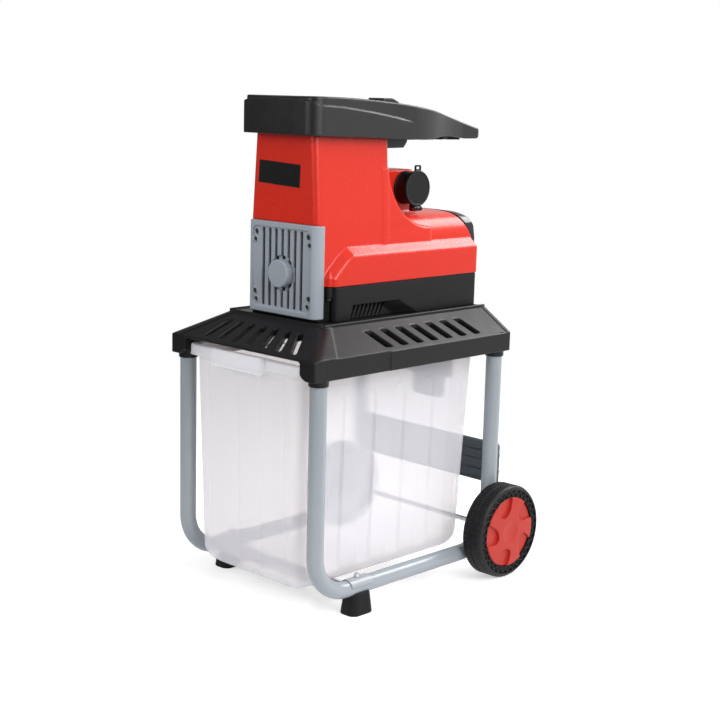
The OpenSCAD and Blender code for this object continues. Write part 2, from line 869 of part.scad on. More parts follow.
module upper_housing() {
    color(red) placed() difference() {
        union() {
            column_form(0);
            saddle_form(0);
            hump_form(0);
            flare_form(0);
            pod_form(0);
            pillar(split_z, split_z + pillar_h, pillar_d, 12);
        }
        column_form(shell_wall);
        saddle_form(shell_wall);
        hump_form(shell_wall);
        flare_form(shell_wall);
        pod_form(shell_wall);
        block(-cover_w, cover_w, cover_station - 20, cover_back, split_z - 1, cover_top + loose_fit);
        frame_window();
        rod_x(pod_x - 2 * shell_wall, pod_x + 1, inlet_d - 10 + 2 * loose_fit, inlet_station, inlet_z);
        rod_x(-flare_half - 1, shell_wall + 1 - flare_half, screw_d + 2, adjuster_y, axis_z);
        block(-76, 76, rear_station - shell_wall - 1, rear_station + 1, panel_z0 + 4, panel_z1 - 4);
        pillar(split_z - 1, split_z + pillar_h, 4.4);
    }
}

module housing_screws() {
    color(steel) placed() {
        pillar(split_z - 20, split_z + pillar_h - 2, 4);
        pillar(split_z - 23, split_z - 20, 8);
    }
}

function cover_screw_places() = [
    for (x = [-1, 1], z = [-1, 1], pair = [0, 1])
        [x * (cover_w / 2 - 22 + 3 * pair), cover_z + cover_h / 2 + z * (cover_h / 2 - 21 - 14 * pair)]
];

// Grey cast cover with the front bearing, cooling slots and rounded returns.
module bearing_cover() {
    boss_d = 50;
    boss_proud = 8;
    pocket_d = boss_d + 13;
    field_x = cover_w / 2 - 13;
    field_inset = 10;
    field_depth = 3.2;
    slot_inset = 12;
    back = 2.2;
    color(grey) placed() difference() {
        union() {
            difference() {
                translate([0, 0, cover_z]) linear_extrude(cover_h) difference() {
                    round_rect(-cover_w / 2, cover_w / 2, cover_station, cover_station + 60, column_corner);
                    translate([-column_w / 2 - loose_fit, cover_back]) square([column_w + 2 * loose_fit, 60]);
                    translate([-cover_w, cover_station + cover_wrap]) square([2 * cover_w, 60]);
                }
                along_y(cover_station - 1, cover_station + field_depth)
                    round_rect(-field_x, field_x, cover_z + field_inset, cover_top - field_inset, field_inset + 1);
                along_y(cover_station, cover_back - back) {
                    for (i = [0 : cover_slots - 1])
                        translate([(i - (cover_slots - 1) / 2) * cover_slot_pitch - cover_slot_w / 2,
                                   cover_z + slot_inset])
                            square([cover_slot_w, cover_h - 2 * slot_inset]);
                    translate([0, axis_z]) circle(d = pocket_d);
                }
            }
            rod_y(cover_station - boss_proud, cover_back, boss_d, 0, axis_z);
        }
        for (place = cover_screw_places()) {
            rod_y(cover_station - 1, cover_station + head_depth, 10, place[0], place[1]);
            rod_y(cover_station, cover_back + 1, 5, place[0], place[1]);
        }
        rod_y(cover_back - bearing_t, cover_back + 1, small_bearing_d + 2 * run_fit, 0, axis_z);
    }
}

module cover_screws() {
    color(steel) placed() for (place = cover_screw_places()) {
        rod_y(cover_station + head_depth - 3, cover_station + head_depth, 8.5, place[0], place[1]);
        rod_y(cover_station + head_depth - 1, cover_back, 4.8, place[0], place[1]);
    }
}

// Hopper

// Side outline of the hopper in the (Y, Z) plane, with a drooping top and a round tip.
module hopper_side(t) {
    tip_r = 11;
    tip = [hopper_rear - tip_r, hopper_z + 4];
    top = hopper_top - t;
    polygon(concat(
        [[hopper_front + t, hopper_z], [hopper_front + t, top - 5]],
        bezier([hopper_front + 12, top], [hopper_front + 0.42 * hopper_l, top],
               [hopper_front + 0.73 * hopper_l, top - 17], [hopper_rear - 1.4 * tip_r - t, hopper_z + 17 - t], 12),
        arc(tip, tip_r - t, 50, -90, 8),
        [[hopper_front + 0.58 * hopper_l, hopper_z - 7.5]]
    ));
}

// Plan outline of the hopper: straight sides, then a taper to the handle.
module hopper_plan(t, inset) {
    half = hopper_half - t;
    grip_half = handle_w / 2 - t;
    taper_y = hopper_front + 0.54 * hopper_l;
    right = concat(
        arc([half - inset - column_corner, hopper_front + t + inset + column_corner], column_corner, -90, 0, 6),
        [[half - inset, taper_y - 90]],
        bezier([half, taper_y], [half, taper_y + 60], [grip_half + 4, taper_y + 70], [grip_half + 2, taper_y + 150], 8),
        arc([grip_half - 16, hopper_rear - 16 - t], 16, 0, 90, 5)
    );
    left = [for (i = [len(right) - 1 : -1 : 0]) [-right[i][0], right[i][1]]];
    polygon(concat(right, left));
}

// Ledge line below which the skirt stands proud of the rim.
module ledge_side() {
    polygon([
        [hopper_front - 1, hopper_z - 20], [hopper_front - 1, hopper_top - 7],
        [hopper_front + 70, hopper_top - 13], [hopper_front + 0.5 * hopper_l, hopper_top - 40],
        [hopper_rear + 1, hopper_top - 52], [hopper_rear + 1, hopper_z - 20]
    ]);
}

module hopper_form(t) {
    low = hopper_z - 40;
    intersection() {
        along_x(-hopper_half, hopper_half) hopper_side(t);
        translate([0, 0, low]) linear_extrude(2 * hopper_h) hopper_plan(t, ledge);
    }
    intersection() {
        along_x(-hopper_half, hopper_half) intersection() {
            hopper_side(t);
            ledge_side();
        }
        translate([0, 0, low]) linear_extrude(2 * hopper_h) hopper_plan(t, 0);
    }
}

// Funnel between the mouth and the throat, grown by t on all sides.
module funnel(t) {
    hull() {
        translate([0, 0, hopper_top + 2]) linear_extrude(1)
            round_rect(-mouth_w / 2 - t, mouth_w / 2 + t, mouth_y0 - t, mouth_y0 + mouth_l + t, 10, $fn = 32);
        translate([0, 0, column_top - 1]) linear_extrude(1)
            round_rect(-throat_half - t, throat_half + t, throat_y0 - t, throat_y1 + t, 6, $fn = 32);
    }
}

// Boss below the hopper's rear, drawn in by t for its hollow.
module hopper_boss(t) {
    half = 44 - t;
    y0 = column_rear + 1 + t;
    y1 = column_rear + 85 - t;
    low = hopper_z - 25 + t;
    along_x(-half, half) polygon([
        [y0, low], [y1 - 12, low], [y1 - 3, low + 12], [y1, hopper_z], [y1, hopper_top], [y0, hopper_top]
    ]);
}

module hopper() {
    arch_r = 410;
    arch_y = hopper_front + 0.77 * hopper_l;
    block_y = mouth_y0 + mouth_l + 12;
    color(black) placed() {
        difference() {
            hopper_form(0);
            difference() {
                intersection() {
                    hopper_form(hopper_wall);
                    block(-hopper_w, hopper_w, 0, 2 * hopper_l, hopper_z - 40, hopper_top);
                }
                funnel(hopper_wall);
                block(-column_top_w / 2, column_top_w / 2, column_front, column_rear, column_top, column_top + 3);
            }
            translate([0, 0, -10]) intersection() {
                hopper_form(hopper_wall);
                block(-hopper_w, hopper_w, 0, 2 * hopper_l, hopper_z - 40, hopper_z + 18);
            }
            funnel(0);
            rod_x(-hopper_w, hopper_w, 2 * arch_r, arch_y, hopper_z - 2 - arch_r);
        }
        along_x(-20, 20) polygon([
            [block_y, hopper_top - 16], [block_y, hopper_top - 1], [block_y + 30, hopper_top - 1],
            [block_y + 43, hopper_top - 10], [block_y + 43, hopper_top - 18]
        ]);
        difference() {
            intersection() {
                hopper_boss(0);
                union() {
                    hopper_form(hopper_wall / 2);
                    block(-hopper_w, hopper_w, 0, 2 * hopper_l, hopper_z - 40, hopper_z + 10);
                }
            }
            hopper_boss(hopper_wall);
            funnel(0);
        }
    }
}

// Finger grip that lines the handle from below, with four scallops; hollow towards the handle.
module handle_grip() {
    y0 = hopper_front + 0.62 * hopper_l;
    y1 = hopper_rear - 24;
    half = handle_w / 2 - 29;
    finger = 26;
    t = 3;
    color(black) placed() difference() {
        intersection() {
            block(-half, half, y0, y1, hopper_z - 10, hopper_top);
            union() {
                hopper_form(hopper_wall + loose_fit);
                block(-half, half, y0, y1, hopper_z - 10, hopper_z + 6);
            }
        }
        block(t - half, half - t, y0 + t, y1 - t, hopper_z - 1, hopper_top + 1);
        for (i = [0 : 3])
            rod_x(-half - 1, half + 1, 0.9 * finger, y0 + 40 + i * finger, hopper_z - 17);
    }
}

// Square duct from the hopper's throat down to the cutting chamber.
module feed_chute() {
    t = 2.5;
    module duct(grow, over) {
        hull() {
            translate([0, 0, column_top - 2 + over]) linear_extrude(1)
                translate([-throat_half - grow, throat_y0 - grow])
                    square([2 * (throat_half + grow), throat_y1 - throat_y0 + 2 * grow]);
            translate([0, 0, frame_z1 - over]) linear_extrude(1)
                translate([chamber_x0 - grow, chamber_y0 - grow])
                    square([chamber_x1 - chamber_x0 + 2 * grow, chamber_y1 - chamber_y0 + 2 * grow]);
        }
    }
    color(black) placed() difference() {
        duct(t, 0);
        duct(0, 1);
    }
}

// Controls on the rear wall

module panel_hole(x, d) {
    rod_y(rear_station - 1, rear_station + panel_t + 1, d + 2 * loose_fit, x, control_z);
}

module control_panel() {
    color(black) placed() difference() {
        intersection() {
            along_x(-panel_half, panel_half) polygon([
                [panel_top_y, crest_z], [panel_top_y + 18, crest_z - 4], [rear_station + 6, panel_z1 + 32],
                [rear_station + panel_t, panel_z1], [rear_station + panel_t, panel_z0],
                [rear_station, panel_z0], [rear_station, panel_z1]
            ]);
            along_y(panel_top_y - 1, rear_station + panel_t + 1) crown_outline(0);
        }
        panel_hole(on_x, button_d);
        panel_hole(off_x, button_d);
        panel_hole(selector_x, 8);
        panel_hole(reset_x, reset_d);
    }
}

module switch_box() {
    color(black) placed() block(-switch_half, switch_half, switch_y0, rear_station, panel_z0 + 6, panel_z1 - 6);
}

module push_button(x, d, proud) {
    placed() rod_y(rear_station + button_travel + 0.5, rear_station + panel_t + proud, d, x, control_z);
}

module on_button() {
    color("green") push_button(on_x, button_d, 4);
}

module off_button() {
    color("firebrick") push_button(off_x, button_d, 4);
}

module reset_button() {
    color(black) push_button(reset_x, reset_d, 4);
}

module direction_knob() {
    y0 = rear_station + panel_t + loose_fit;
    color(black) placed() {
        rod_y(rear_station + loose_fit, y0 + 1, 8, selector_x, control_z);
        rod_y(y0, y0 + 5, selector_d, selector_x, control_z);
        translate([selector_x, y0 + 5, control_z]) rotate([0, 20, 0])
            block(-4, 4, -eps, 8, -selector_d / 2 + 1, selector_d / 2 - 1);
    }
}

// Mains inlet

module inlet_body() {
    base = 6;
    color(black) placed() difference() {
        union() {
            rod_x(pod_x - 20, pod_x, inlet_d - 10, inlet_station, inlet_z);
            rod_x(pod_x, inlet_x1, inlet_d, inlet_station, inlet_z);
            for (side = [-1, 1]) translate([0, inlet_station + side * 8.4, 0]) {
                rod_y(-2.7, 2.7, 2 * hinge_r, hinge_x, hinge_z);
                block(inlet_x1 - 6, inlet_x1, -2.7, 2.7, hinge_z, inlet_z - inlet_d / 2 + 3);
                block(inlet_x1 - 6, hinge_x, -2.7, 2.7, hinge_z - hinge_r, hinge_z);
            }
        }
        rod_x(pod_x + base, inlet_x1 + 1, inlet_d - 8, inlet_station, inlet_z);
        rod_y(inlet_station - 20, inlet_station + 20, hinge_pin_d + 2 * run_fit, hinge_x, hinge_z);
    }
}

module inlet_pins() {
    reach = 16;
    color(steel) placed() for (place = [[-9.5, 0], [9.5, 0], [0, 9]])
        rod_x(pod_x + 6, pod_x + 6 + reach, 4.8, inlet_station + place[0], inlet_z + place[1]);
}

module lid_pin() {
    color(steel) placed() rod_y(inlet_station - 11, inlet_station + 11, hinge_pin_d, hinge_x, hinge_z);
}

module inlet_lid() {
    knuckle = 5.2;
    color(black) placed() difference() {
        union() {
            rod_x(lid_x0, lid_x0 + lid_t, lid_d, inlet_station, inlet_z);
            along_x(lid_x0 + 1, lid_x0 + lid_t - 1)
                round_rect(inlet_station - 8, inlet_station + 8, inlet_z, inlet_z + lid_d / 2 + 10, 3);
            rod_y(inlet_station - knuckle, inlet_station + knuckle, 2 * hinge_r, hinge_x, hinge_z);
            block(lid_x0, lid_x0 + lid_t, inlet_station - knuckle, inlet_station + knuckle, hinge_z,
                  inlet_z - lid_d / 2 + 3);
        }
        rod_y(inlet_station - 20, inlet_station + 20, hinge_pin_d + 2 * run_fit, hinge_x, hinge_z);
        along_x(lid_x0 - 1, lid_x0 + lid_t + 1) slot_2d(
            [inlet_station - 3, inlet_z + lid_d / 2 + 5], [inlet_station + 3, inlet_z + lid_d / 2 + 5], 4);
    }
}

// Cutting unit

module cutter_frame() {
    color(steel) placed() difference() {
        block(chamber_x0 - frame_wall, chamber_x1 + frame_wall, frame_y0, frame_y1, frame_z0, frame_z1);
        block(chamber_x0, chamber_x1, chamber_y0, chamber_y1, frame_z0 - 1, frame_z1 + 1);
        rod_y(frame_y0 - 1, frame_y1 + 1, shaft_d + 4, 0, axis_z);
        rod_x(chamber_x0 - frame_wall - 1, chamber_x0 + 1, screw_d + 2 * run_fit, adjuster_y, axis_z);
    }
}

// Hooked teeth: each rises steeply on its cutting side and falls slowly behind.
function cutter_points() = [
    for (i = [0 : cutter_teeth - 1], p = [[0, 0.8], [0.08, 0.98], [0.14, 1], [0.55, 0.86]])
        let (a = 360 * (i + p[0]) / cutter_teeth)
        cutter_r * p[1] * [cos(a), sin(a)]
];

module cutter_roller() {
    y0 = chamber_y0 + 4;
    color(steel) placed() difference() {
        translate([0, 0, axis_z]) along_y(y0, y0 + cutter_l) polygon(cutter_points());
        rod_y(y0 - 1, y0 + cutter_l + 1, shaft_d + 2 * run_fit, 0, axis_z);
    }
}

module cutter_shaft() {
    color(steel) placed() {
        rod_y(cover_back - bearing_t, frame_y0 + 1, 15, 0, axis_z);
        rod_y(frame_y0 + 1, frame_y1 - 1, shaft_d, 0, axis_z);
        rod_y(frame_y1 - 1 - eps, stage_one_y + gear_t, 20, 0, axis_z);
    }
}

module front_bearing() {
    color(steel) placed() ring_y(cover_back - bearing_t, cover_back, small_bearing_d, 15 + 2 * run_fit, 0, axis_z);
}

module rear_bearing() {
    color(steel) placed()
        ring_y(gearbox_y0, gearbox_y0 + bearing_t, big_bearing_d, 20 + 2 * run_fit, 0, axis_z);
}

module pressure_plate() {
    half_h = 30;
    color(steel) placed() difference() {
        block(plate_x0, plate_x1, chamber_y0 + loose_fit, chamber_y1 - loose_fit, axis_z - half_h, axis_z + half_h);
        rod_x(plate_x0 - 1, plate_x1 - 3, screw_d + 2 * run_fit, adjuster_y, axis_z);
    }
}

module adjuster_screw() {
    color(steel) placed() rod_x(knob_x0 + 4, plate_x1 - 4, screw_d, adjuster_y, axis_z);
}

module adjuster_knob() {
    flute_count_knob = 10;
    color(black) placed() difference() {
        rod_x(knob_x0, knob_x1, knob_d, adjuster_y, axis_z);
        rod_x(knob_x0 + 4, knob_x1 + 1, screw_d + 2 * run_fit, adjuster_y, axis_z);
        for (i = [0 : flute_count_knob - 1]) {
            a = 360 * i / flute_count_knob;
            rod_x(knob_x0 - 1, knob_x1 - 4, 6, adjuster_y + 0.53 * knob_d * cos(a), axis_z + 0.53 * knob_d * sin(a));
        }
    }
}

// Gears

backlash = 0.2;
pressure_angle = 20;

// Half the angle that a tooth spans at radius r, for a profile shift of the tooth.
function involute_angle(r, base) = r <= base ? 0 : let (t = acos(base / r)) tan(t) * 180 / PI - t;
function tooth_half_angle(r, teeth, shift) =
    let (pitch_r = gear_module * teeth / 2,
         base = pitch_r * cos(pressure_angle),
         width = gear_module * (PI / 2 + 2 * shift * tan(pressure_angle)) - backlash)
    (width / 2 / pitch_r) * 180 / PI + involute_angle(pitch_r, base) - involute_angle(max(r, base), base);

// Tooth flanks sampled at a few radii between root and tip; tooth 0 points along +X.
function gear_points(teeth, shift) =
    let (pitch_r = gear_module * teeth / 2,
         root = pitch_r + gear_module * (shift - 1.25),
         tip = pitch_r + gear_module * (shift + 0.9),
         radii = [root, max(root + 0.1, pitch_r * cos(pressure_angle)), pitch_r + shift * gear_module, tip])
    [for (i = [0 : teeth - 1], k = [0 : 7])
        let (r = k < 4 ? radii[k] : radii[7 - k],
             half = tooth_half_angle(r, teeth, shift),
             a = 360 * i / teeth + (k < 4 ? -half : half))
        r * [cos(a), sin(a)]];

pinion_shift = 0.5;

// Gear with its first tooth at the given angle, from y0 to y0 + t.
module gear(y0, t, teeth, shift, angle, z) {
    translate([0, 0, z]) along_y(y0, y0 + t) rotate(angle) polygon(gear_points(teeth, shift));
}

module output_gear() {
    color(steel) placed() difference() {
        gear(stage_one_y, gear_t, wheel_teeth, -pinion_shift, 90 + 180 / wheel_teeth, axis_z);
        rod_y(stage_one_y - 1, stage_one_y + gear_t + 1, 20 + 2 * run_fit, 0, axis_z);
    }
}

module idler_gear() {
    color(steel) placed() difference() {
        gear(stage_two_y, gear_t, wheel_teeth, -pinion_shift, -90 + 180 / wheel_teeth, idler_z);
        rod_y(stage_two_y - 1, stage_two_y + gear_t + 1, idler_d + 2 * run_fit, 0, idler_z);
    }
}

// Idler shaft with its pinion cut into it.
module idler_shaft() {
    color(steel) placed() {
        rod_y(gearbox_y0 + 2, stage_one_y - 1 + eps, 7, 0, idler_z);
        gear(stage_one_y - 1, gear_t + 2, pinion_teeth, pinion_shift, -90, idler_z);
        rod_y(stage_one_y + gear_t + 1 - eps, gearbox_y1 + shield_t - 3, idler_d, 0, idler_z);
    }
}

module gearbox_outline(r) {
    translate([0, axis_z]) circle(r);
    translate([0, idler_z]) circle(r);
    translate([-r, axis_z]) square([2 * r, idler_z - axis_z]);
}

module gearbox_housing() {
    front = 13;
    color("lightgrey") placed() difference() {
        along_y(gearbox_y0, gearbox_y1) gearbox_outline(gearbox_r);
        along_y(gearbox_y0 + front, gearbox_y1 + 1) gearbox_outline(gearbox_r - gearbox_wall);
        rod_y(gearbox_y0 - 1, gearbox_y0 + bearing_t, big_bearing_d + 2 * run_fit, 0, axis_z);
        rod_y(gearbox_y0 + bearing_t - 1, gearbox_y0 + front + 1, 26, 0, axis_z);
        rod_y(gearbox_y0 + 2, gearbox_y0 + front + 1, 7 + 2 * run_fit, 0, idler_z);
    }
}

// Motor

module motor_front_shield() {
    y1 = gearbox_y1 + shield_t;
    color("lightgrey") placed() difference() {
        union() {
            rod_y(gearbox_y1, y1 + shield_rim, motor_d, 0, axis_z);
            along_y(gearbox_y1, y1) gearbox_outline(gearbox_r);
        }
        rod_y(y1, y1 + shield_rim + 1, motor_d - 16, 0, axis_z);
        rod_y(gearbox_y1 - 1, y1 + 1, small_bearing_d + 2 * run_fit, 0, axis_z);
        rod_y(gearbox_y1 - 1, y1 - 3, idler_d + 2 * run_fit, 0, idler_z);
    }
}

module motor_rear_shield() {
    color("lightgrey") placed() difference() {
        rod_y(stack_y1, shield_y1 + shield_t, motor_d, 0, axis_z);
        rod_y(stack_y1 - 1, shield_y1, motor_d - 16, 0, axis_z);
        rod_y(stack_y1, shield_y1 + shield_t + 1, small_bearing_d + 2 * run_fit, 0, axis_z);
    }
}

module motor_bearings() {
    color(steel) placed() for (y = [gearbox_y1, shield_y1])
        ring_y(y, y + shield_t, small_bearing_d, motor_shaft_d + 2 * run_fit, 0, axis_z);
}

module motor_stator() {
    color([0.45, 0.45, 0.48]) placed() ring_y(stack_y0, stack_y1, motor_d, 2 * rotor_r + 1, 0, axis_z);
}

module motor_windings() {
    color(copper) placed() for (y = [stack_y0 - 14, stack_y1])
        ring_y(y, y + 14, motor_d - 26, 2 * rotor_r + 8, 0, axis_z);
}

// Motor shaft with the first pinion cut into its front end.
module motor_shaft() {
    color(steel) placed() {
        gear(stage_two_y - 1, gear_t + 2, pinion_teeth, pinion_shift, 90, axis_z);
        rod_y(stage_two_y + gear_t + 1 - eps, fan_y0 + fan_t, motor_shaft_d, 0, axis_z);
    }
}

module rotor_core() {
    color([0.5, 0.5, 0.53]) placed()
        ring_y(stack_y0, stack_y1, 2 * rotor_r, motor_shaft_d + 2 * run_fit, 0, axis_z);
}

module cooling_fan() {
    blade_count = 9;
    fan_r = 0.86 * motor_r;
    color(black) placed() {
        ring_y(fan_y0, fan_y0 + fan_t, 30, motor_shaft_d + 2 * run_fit, 0, axis_z);
        for (i = [0 : blade_count - 1]) translate([0, 0, axis_z]) rotate([0, 360 * i / blade_count, 0])
            block(14, fan_r, fan_y0 + 2, fan_y0 + fan_t, -1, 1);
        ring_y(fan_y0, fan_y0 + 2 + eps, 2 * fan_r, 29, 0, axis_z);
    }
}

module capacitor() {
    d = 36;
    x = flare_half - vent_depth - 2 * shell_wall - d / 2 - 1;
    color(steel) placed()
        rod_y(stack_y0 + 10, stack_y0 + 80, d, x, plate_z + shell_wall + d / 2 + loose_fit);
}

// Collection box

function box_at(z) = (rim_z - z) / (rim_z - box_z);

module box_slab(z, t, inset) {
    half = box_half - t - inset - box_draft * box_at(z);
    y0 = box_y0 + t + inset + box_slope * box_at(z);
    y1 = box_y1 - t - inset - box_slope * box_at(z);
    translate([0, 0, z]) linear_extrude(0.5) round_rect(-half, half, y0, y1, 26, $fn = 32);
}

module tub_form(t) {
    floor_z = box_z + t;
    hull() {
        box_slab(floor_z, t, 14);
        box_slab(floor_z + 6, t, 5);
        box_slab(floor_z + 18, t, 0);
        box_slab(rim_top - 0.5 + (t > 0 ? 40 : 0), t, 0);
    }
}

// Arch-topped hollows in the side walls, grown by t for the inside of the wall.
module flutes(t) {
    r = (flute_w * flute_w / 4 + flute_depth * flute_depth) / (2 * flute_depth);
    margin = 29;
    shift = 16;
    pitch = (box_y1 - box_y0 - 2 * margin) / flute_count;
    top = rim_z - flute_w / 2 - 4;
    lean = atan(box_draft / (rim_z - box_z));
    for (side = [0, 1], i = [0 : flute_count - 1]) mirror([side, 0, 0])
        translate([box_half, box_y0 + margin + shift + (i + 0.5) * pitch, rim_z]) rotate([0, lean, 0])
            translate([r - flute_depth, 0, top - rim_z]) {
                translate([0, 0, box_z + 30 - top]) cylinder(r = r + t, h = top - box_z - 30);
                sphere(r + t);
            }
}

module rim_plan(t) {
    bow_r = (rim_half * rim_half + rim_bow * rim_bow) / (2 * rim_bow);
    round_rect(t - rim_half, rim_half - t, rim_y0 + t, rim_y1 - t, 14);
    intersection() {
        translate([0, bow_r + rim_y0 - rim_bow]) circle(bow_r - t, $fn = 256);
        translate([t - rim_half, rim_y0 - rim_bow - 1]) square([2 * (rim_half - t), rim_bow + 20]);
    }
}

module collection_box() {
    grip_half = 58;
    bow_r = (rim_half * rim_half + rim_bow * rim_bow) / (2 * rim_bow);
    color(milky) placed() {
        difference() {
            union() {
                difference() {
                    tub_form(0);
                    flutes(0);
                }
                translate([0, 0, rim_z]) linear_extrude(rim_h) difference() {
                    rim_plan(0);
                    rim_plan(box_wall);
                }
                translate([0, 0, rim_top - box_wall]) linear_extrude(box_wall) rim_plan(0);
                intersection() {
                    translate([0, bow_r + rim_y0 - rim_bow, rim_z - 4]) difference() {
                        cylinder(r = bow_r + grip_t, h = rim_h, $fn = 256);
                        translate([0, 0, -1]) cylinder(r = bow_r - box_wall / 2, h = rim_h + 2, $fn = 256);
                    }
                    block(-grip_half, grip_half, 2 * front_reach, 0, rim_z - 4, rim_top);
                }
            }
            difference() {
                tub_form(box_wall);
                flutes(box_wall);
            }
        }
    }
}

// Box interlock behind the box

module interlock_housing() {
    low_z = deck_z - lock_reach;
    mid_z = deck_z - lock_drop;
    color(black) placed() difference() {
        union() {
            block(lock_x - lock_half, lock_x + lock_half, lock_y0, lock_y1, mid_z, plate_z - deck_wall);
            block(lock_x - lock_stem, lock_x + lock_stem, lock_y0 + 3, lock_y1, low_z, mid_z + eps);
        }
        rod_y(lock_y0 - 1, lock_y1 - 3, plunger_d + 2 * loose_fit, plunger_x, plunger_z);
    }
}

module interlock_plunger() {
    color("firebrick") placed() rod_y(rim_y1 + 0.5, lock_y1 - 8, plunger_d, plunger_x, plunger_z);
}

deck();
left_leg_frame();
right_leg_frame();
front_strut();
left_foot();
right_foot();
foot_bolts();
rear_brace();
brace_screws();
wheel_axle();
axle_washers();
axle_clips();
left_wheel();
right_wheel();
left_hub_cap();
right_hub_cap();
lower_housing();
housing_floor();
upper_housing();
bearing_cover();
cover_screws();
housing_screws();
hopper();
handle_grip();
feed_chute();
control_panel();
switch_box();
on_button();
off_button();
direction_knob();
reset_button();
inlet_body();
inlet_pins();
inlet_lid();
lid_pin();
cutter_frame();
cutter_roller();
cutter_shaft();
front_bearing();
rear_bearing();
pressure_plate();
adjuster_screw();
adjuster_knob();
gearbox_housing();
output_gear();
idler_gear();
idler_shaft();
motor_front_shield();
motor_rear_shield();
motor_stator();
motor_windings();
motor_bearings();
motor_shaft();
rotor_core();
cooling_fan();
capacitor();
collection_box();
interlock_housing();
interlock_plunger();
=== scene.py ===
"""Garden shredder: moulded, cast and rubber forms and their finishes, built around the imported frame."""
import json
import math

import bpy
import numpy as np
from mathutils import Matrix, Vector

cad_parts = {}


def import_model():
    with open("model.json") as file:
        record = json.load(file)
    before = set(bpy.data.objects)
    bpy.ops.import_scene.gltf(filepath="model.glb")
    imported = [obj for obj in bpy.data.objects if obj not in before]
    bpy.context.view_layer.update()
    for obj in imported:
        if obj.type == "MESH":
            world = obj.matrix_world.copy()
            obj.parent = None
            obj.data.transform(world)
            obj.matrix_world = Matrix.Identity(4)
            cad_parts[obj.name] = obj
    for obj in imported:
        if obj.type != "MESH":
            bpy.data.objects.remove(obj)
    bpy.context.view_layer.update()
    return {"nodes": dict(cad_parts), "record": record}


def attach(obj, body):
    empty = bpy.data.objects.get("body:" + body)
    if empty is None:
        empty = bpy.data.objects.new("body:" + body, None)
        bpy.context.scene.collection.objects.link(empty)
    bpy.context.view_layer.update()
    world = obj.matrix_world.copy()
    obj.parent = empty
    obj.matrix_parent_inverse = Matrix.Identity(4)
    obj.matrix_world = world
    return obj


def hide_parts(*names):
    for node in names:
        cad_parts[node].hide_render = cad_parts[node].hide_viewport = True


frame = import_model()

# Stations count along +Y from the front legs, in millimetres; the row's origin lies at this station.
MID_STATION = 255.4255
F32 = np.float32

# Main sizes, in millimetres
DECK_HALF = 191
DECK_FRONT, DECK_REAR = -27, 490
DECK_Z, SKIRT_Z, PLATE_Z = 434, 470, 513
SPLIT_Z = 575
LIP_HALF, LIP_FRONT = 123, 56
COLUMN_HALF, COLUMN_TOP_HALF = 87, 76.5
COLUMN_FRONT, COLUMN_REAR, COLUMN_TOP = 72, 258, 848
COVER_FRONT, COVER_BACK, COVER_HALF = 68, 78, 89
COVER_Z, COVER_TOP = 518, 682
PILLAR_X, PILLAR_Y = 92, 99
FLARE_HALF, FLARE_FRONT, FLARE_Z, FLARE_TOP = 104, 104, 627, 642
SADDLE_REAR, SADDLE_TOP, SADDLE_RADIUS = 368, 778, 111
HUMP_FRONT, REAR, CREST_Z = 236, 488, 692
AXIS_Z, ADJUSTER_Y = 592, 138
INLET_Y, INLET_Z = 361, 737
LID_X, LID_Z, LID_PIN, LID_EYE = 56, 699.5, 1.6, 4.5
PANEL_HALF, BUTTON_Z = 76, 617
HOPPER_FRONT, HOPPER_REAR, HOPPER_HALF, HOPPER_Z, HOPPER_TOP = 48, 535, 98, 836, 902
LEG_X, LEG_SPAN, TUBE_D = 172.5, 466, 30
FOOT_Y, RAIL_Z, STRUT_Z = 105, 49, 33
AXLE_Y, AXLE_Z, WHEEL_X = 457.851, 90, 190
WALL = 5.5
SUNK = 1.3
SLOTS = 7
# Low and high sides of the openings that go through two pieces
WINDOW = (-77.6, 57, 531, 653)
CHUTE = (-66.6, 46, 84, 192)


# Finishes

def node_tree(name):
    material = bpy.data.materials.new(name)
    material.use_nodes = True
    tree = material.node_tree
    return material, tree, tree.nodes["Principled BSDF"]


def noise(tree, scale, detail):
    place = tree.nodes.new("ShaderNodeTexCoord")
    tex = tree.nodes.new("ShaderNodeTexNoise")
    tex.inputs["Scale"].default_value = scale
    tex.inputs["Detail"].default_value = detail
    tree.links.new(place.outputs["Object"], tex.inputs["Vector"])
    return tex.outputs["Fac"]


def map_range(tree, value, start, end, low, high):
    node = tree.nodes.new("ShaderNodeMapRange")
    for name, number in (("From Min", start), ("From Max", end), ("To Min", low), ("To Max", high)):
        node.inputs[name].default_value = number
    tree.links.new(value, node.inputs["Value"])
    return node


def spread(tree, value, low, high):
    """Noise, most of which lies between 0.3 and 0.7, drawn out to low and high."""
    node = map_range(tree, value, 0.3, 0.7, low, high)
    node.clamp = False
    return node.outputs["Result"]


def shades(tree, value, low, high):
    mix = tree.nodes.new("ShaderNodeMix")
    mix.data_type = "RGBA"
    mix.inputs["A"].default_value = (*low, 1)
    mix.inputs["B"].default_value = (*high, 1)
    tree.links.new(value, mix.inputs["Factor"])
    return mix.outputs["Result"]


def finish(name, colour, rough, grain, depth, tone=0.07, uneven=0.04, **sockets):
    """Moulded, cast or painted surface: soft tone patches, uneven gloss and a fine grain."""
    material, tree, shader = node_tree(name)
    low = [c * (1 - tone) for c in colour]
    high = [min(1, c * (1 + tone)) for c in colour]
    tree.links.new(shades(tree, noise(tree, 14, 2), low, high), shader.inputs["Base Color"])
    gloss = spread(tree, noise(tree, 40, 2), rough - uneven, rough + uneven)
    tree.links.new(gloss, shader.inputs["Roughness"])
    if depth:
        bump = tree.nodes.new("ShaderNodeBump")
        bump.inputs["Strength"].default_value = depth
        bump.inputs["Distance"].default_value = 0.0004
        tree.links.new(noise(tree, grain, 1), bump.inputs["Height"])
        tree.links.new(bump.outputs["Normal"], shader.inputs["Normal"])
    for socket, value in sockets.items():
        shader.inputs[socket.replace("_", " ")].default_value = value
    return material


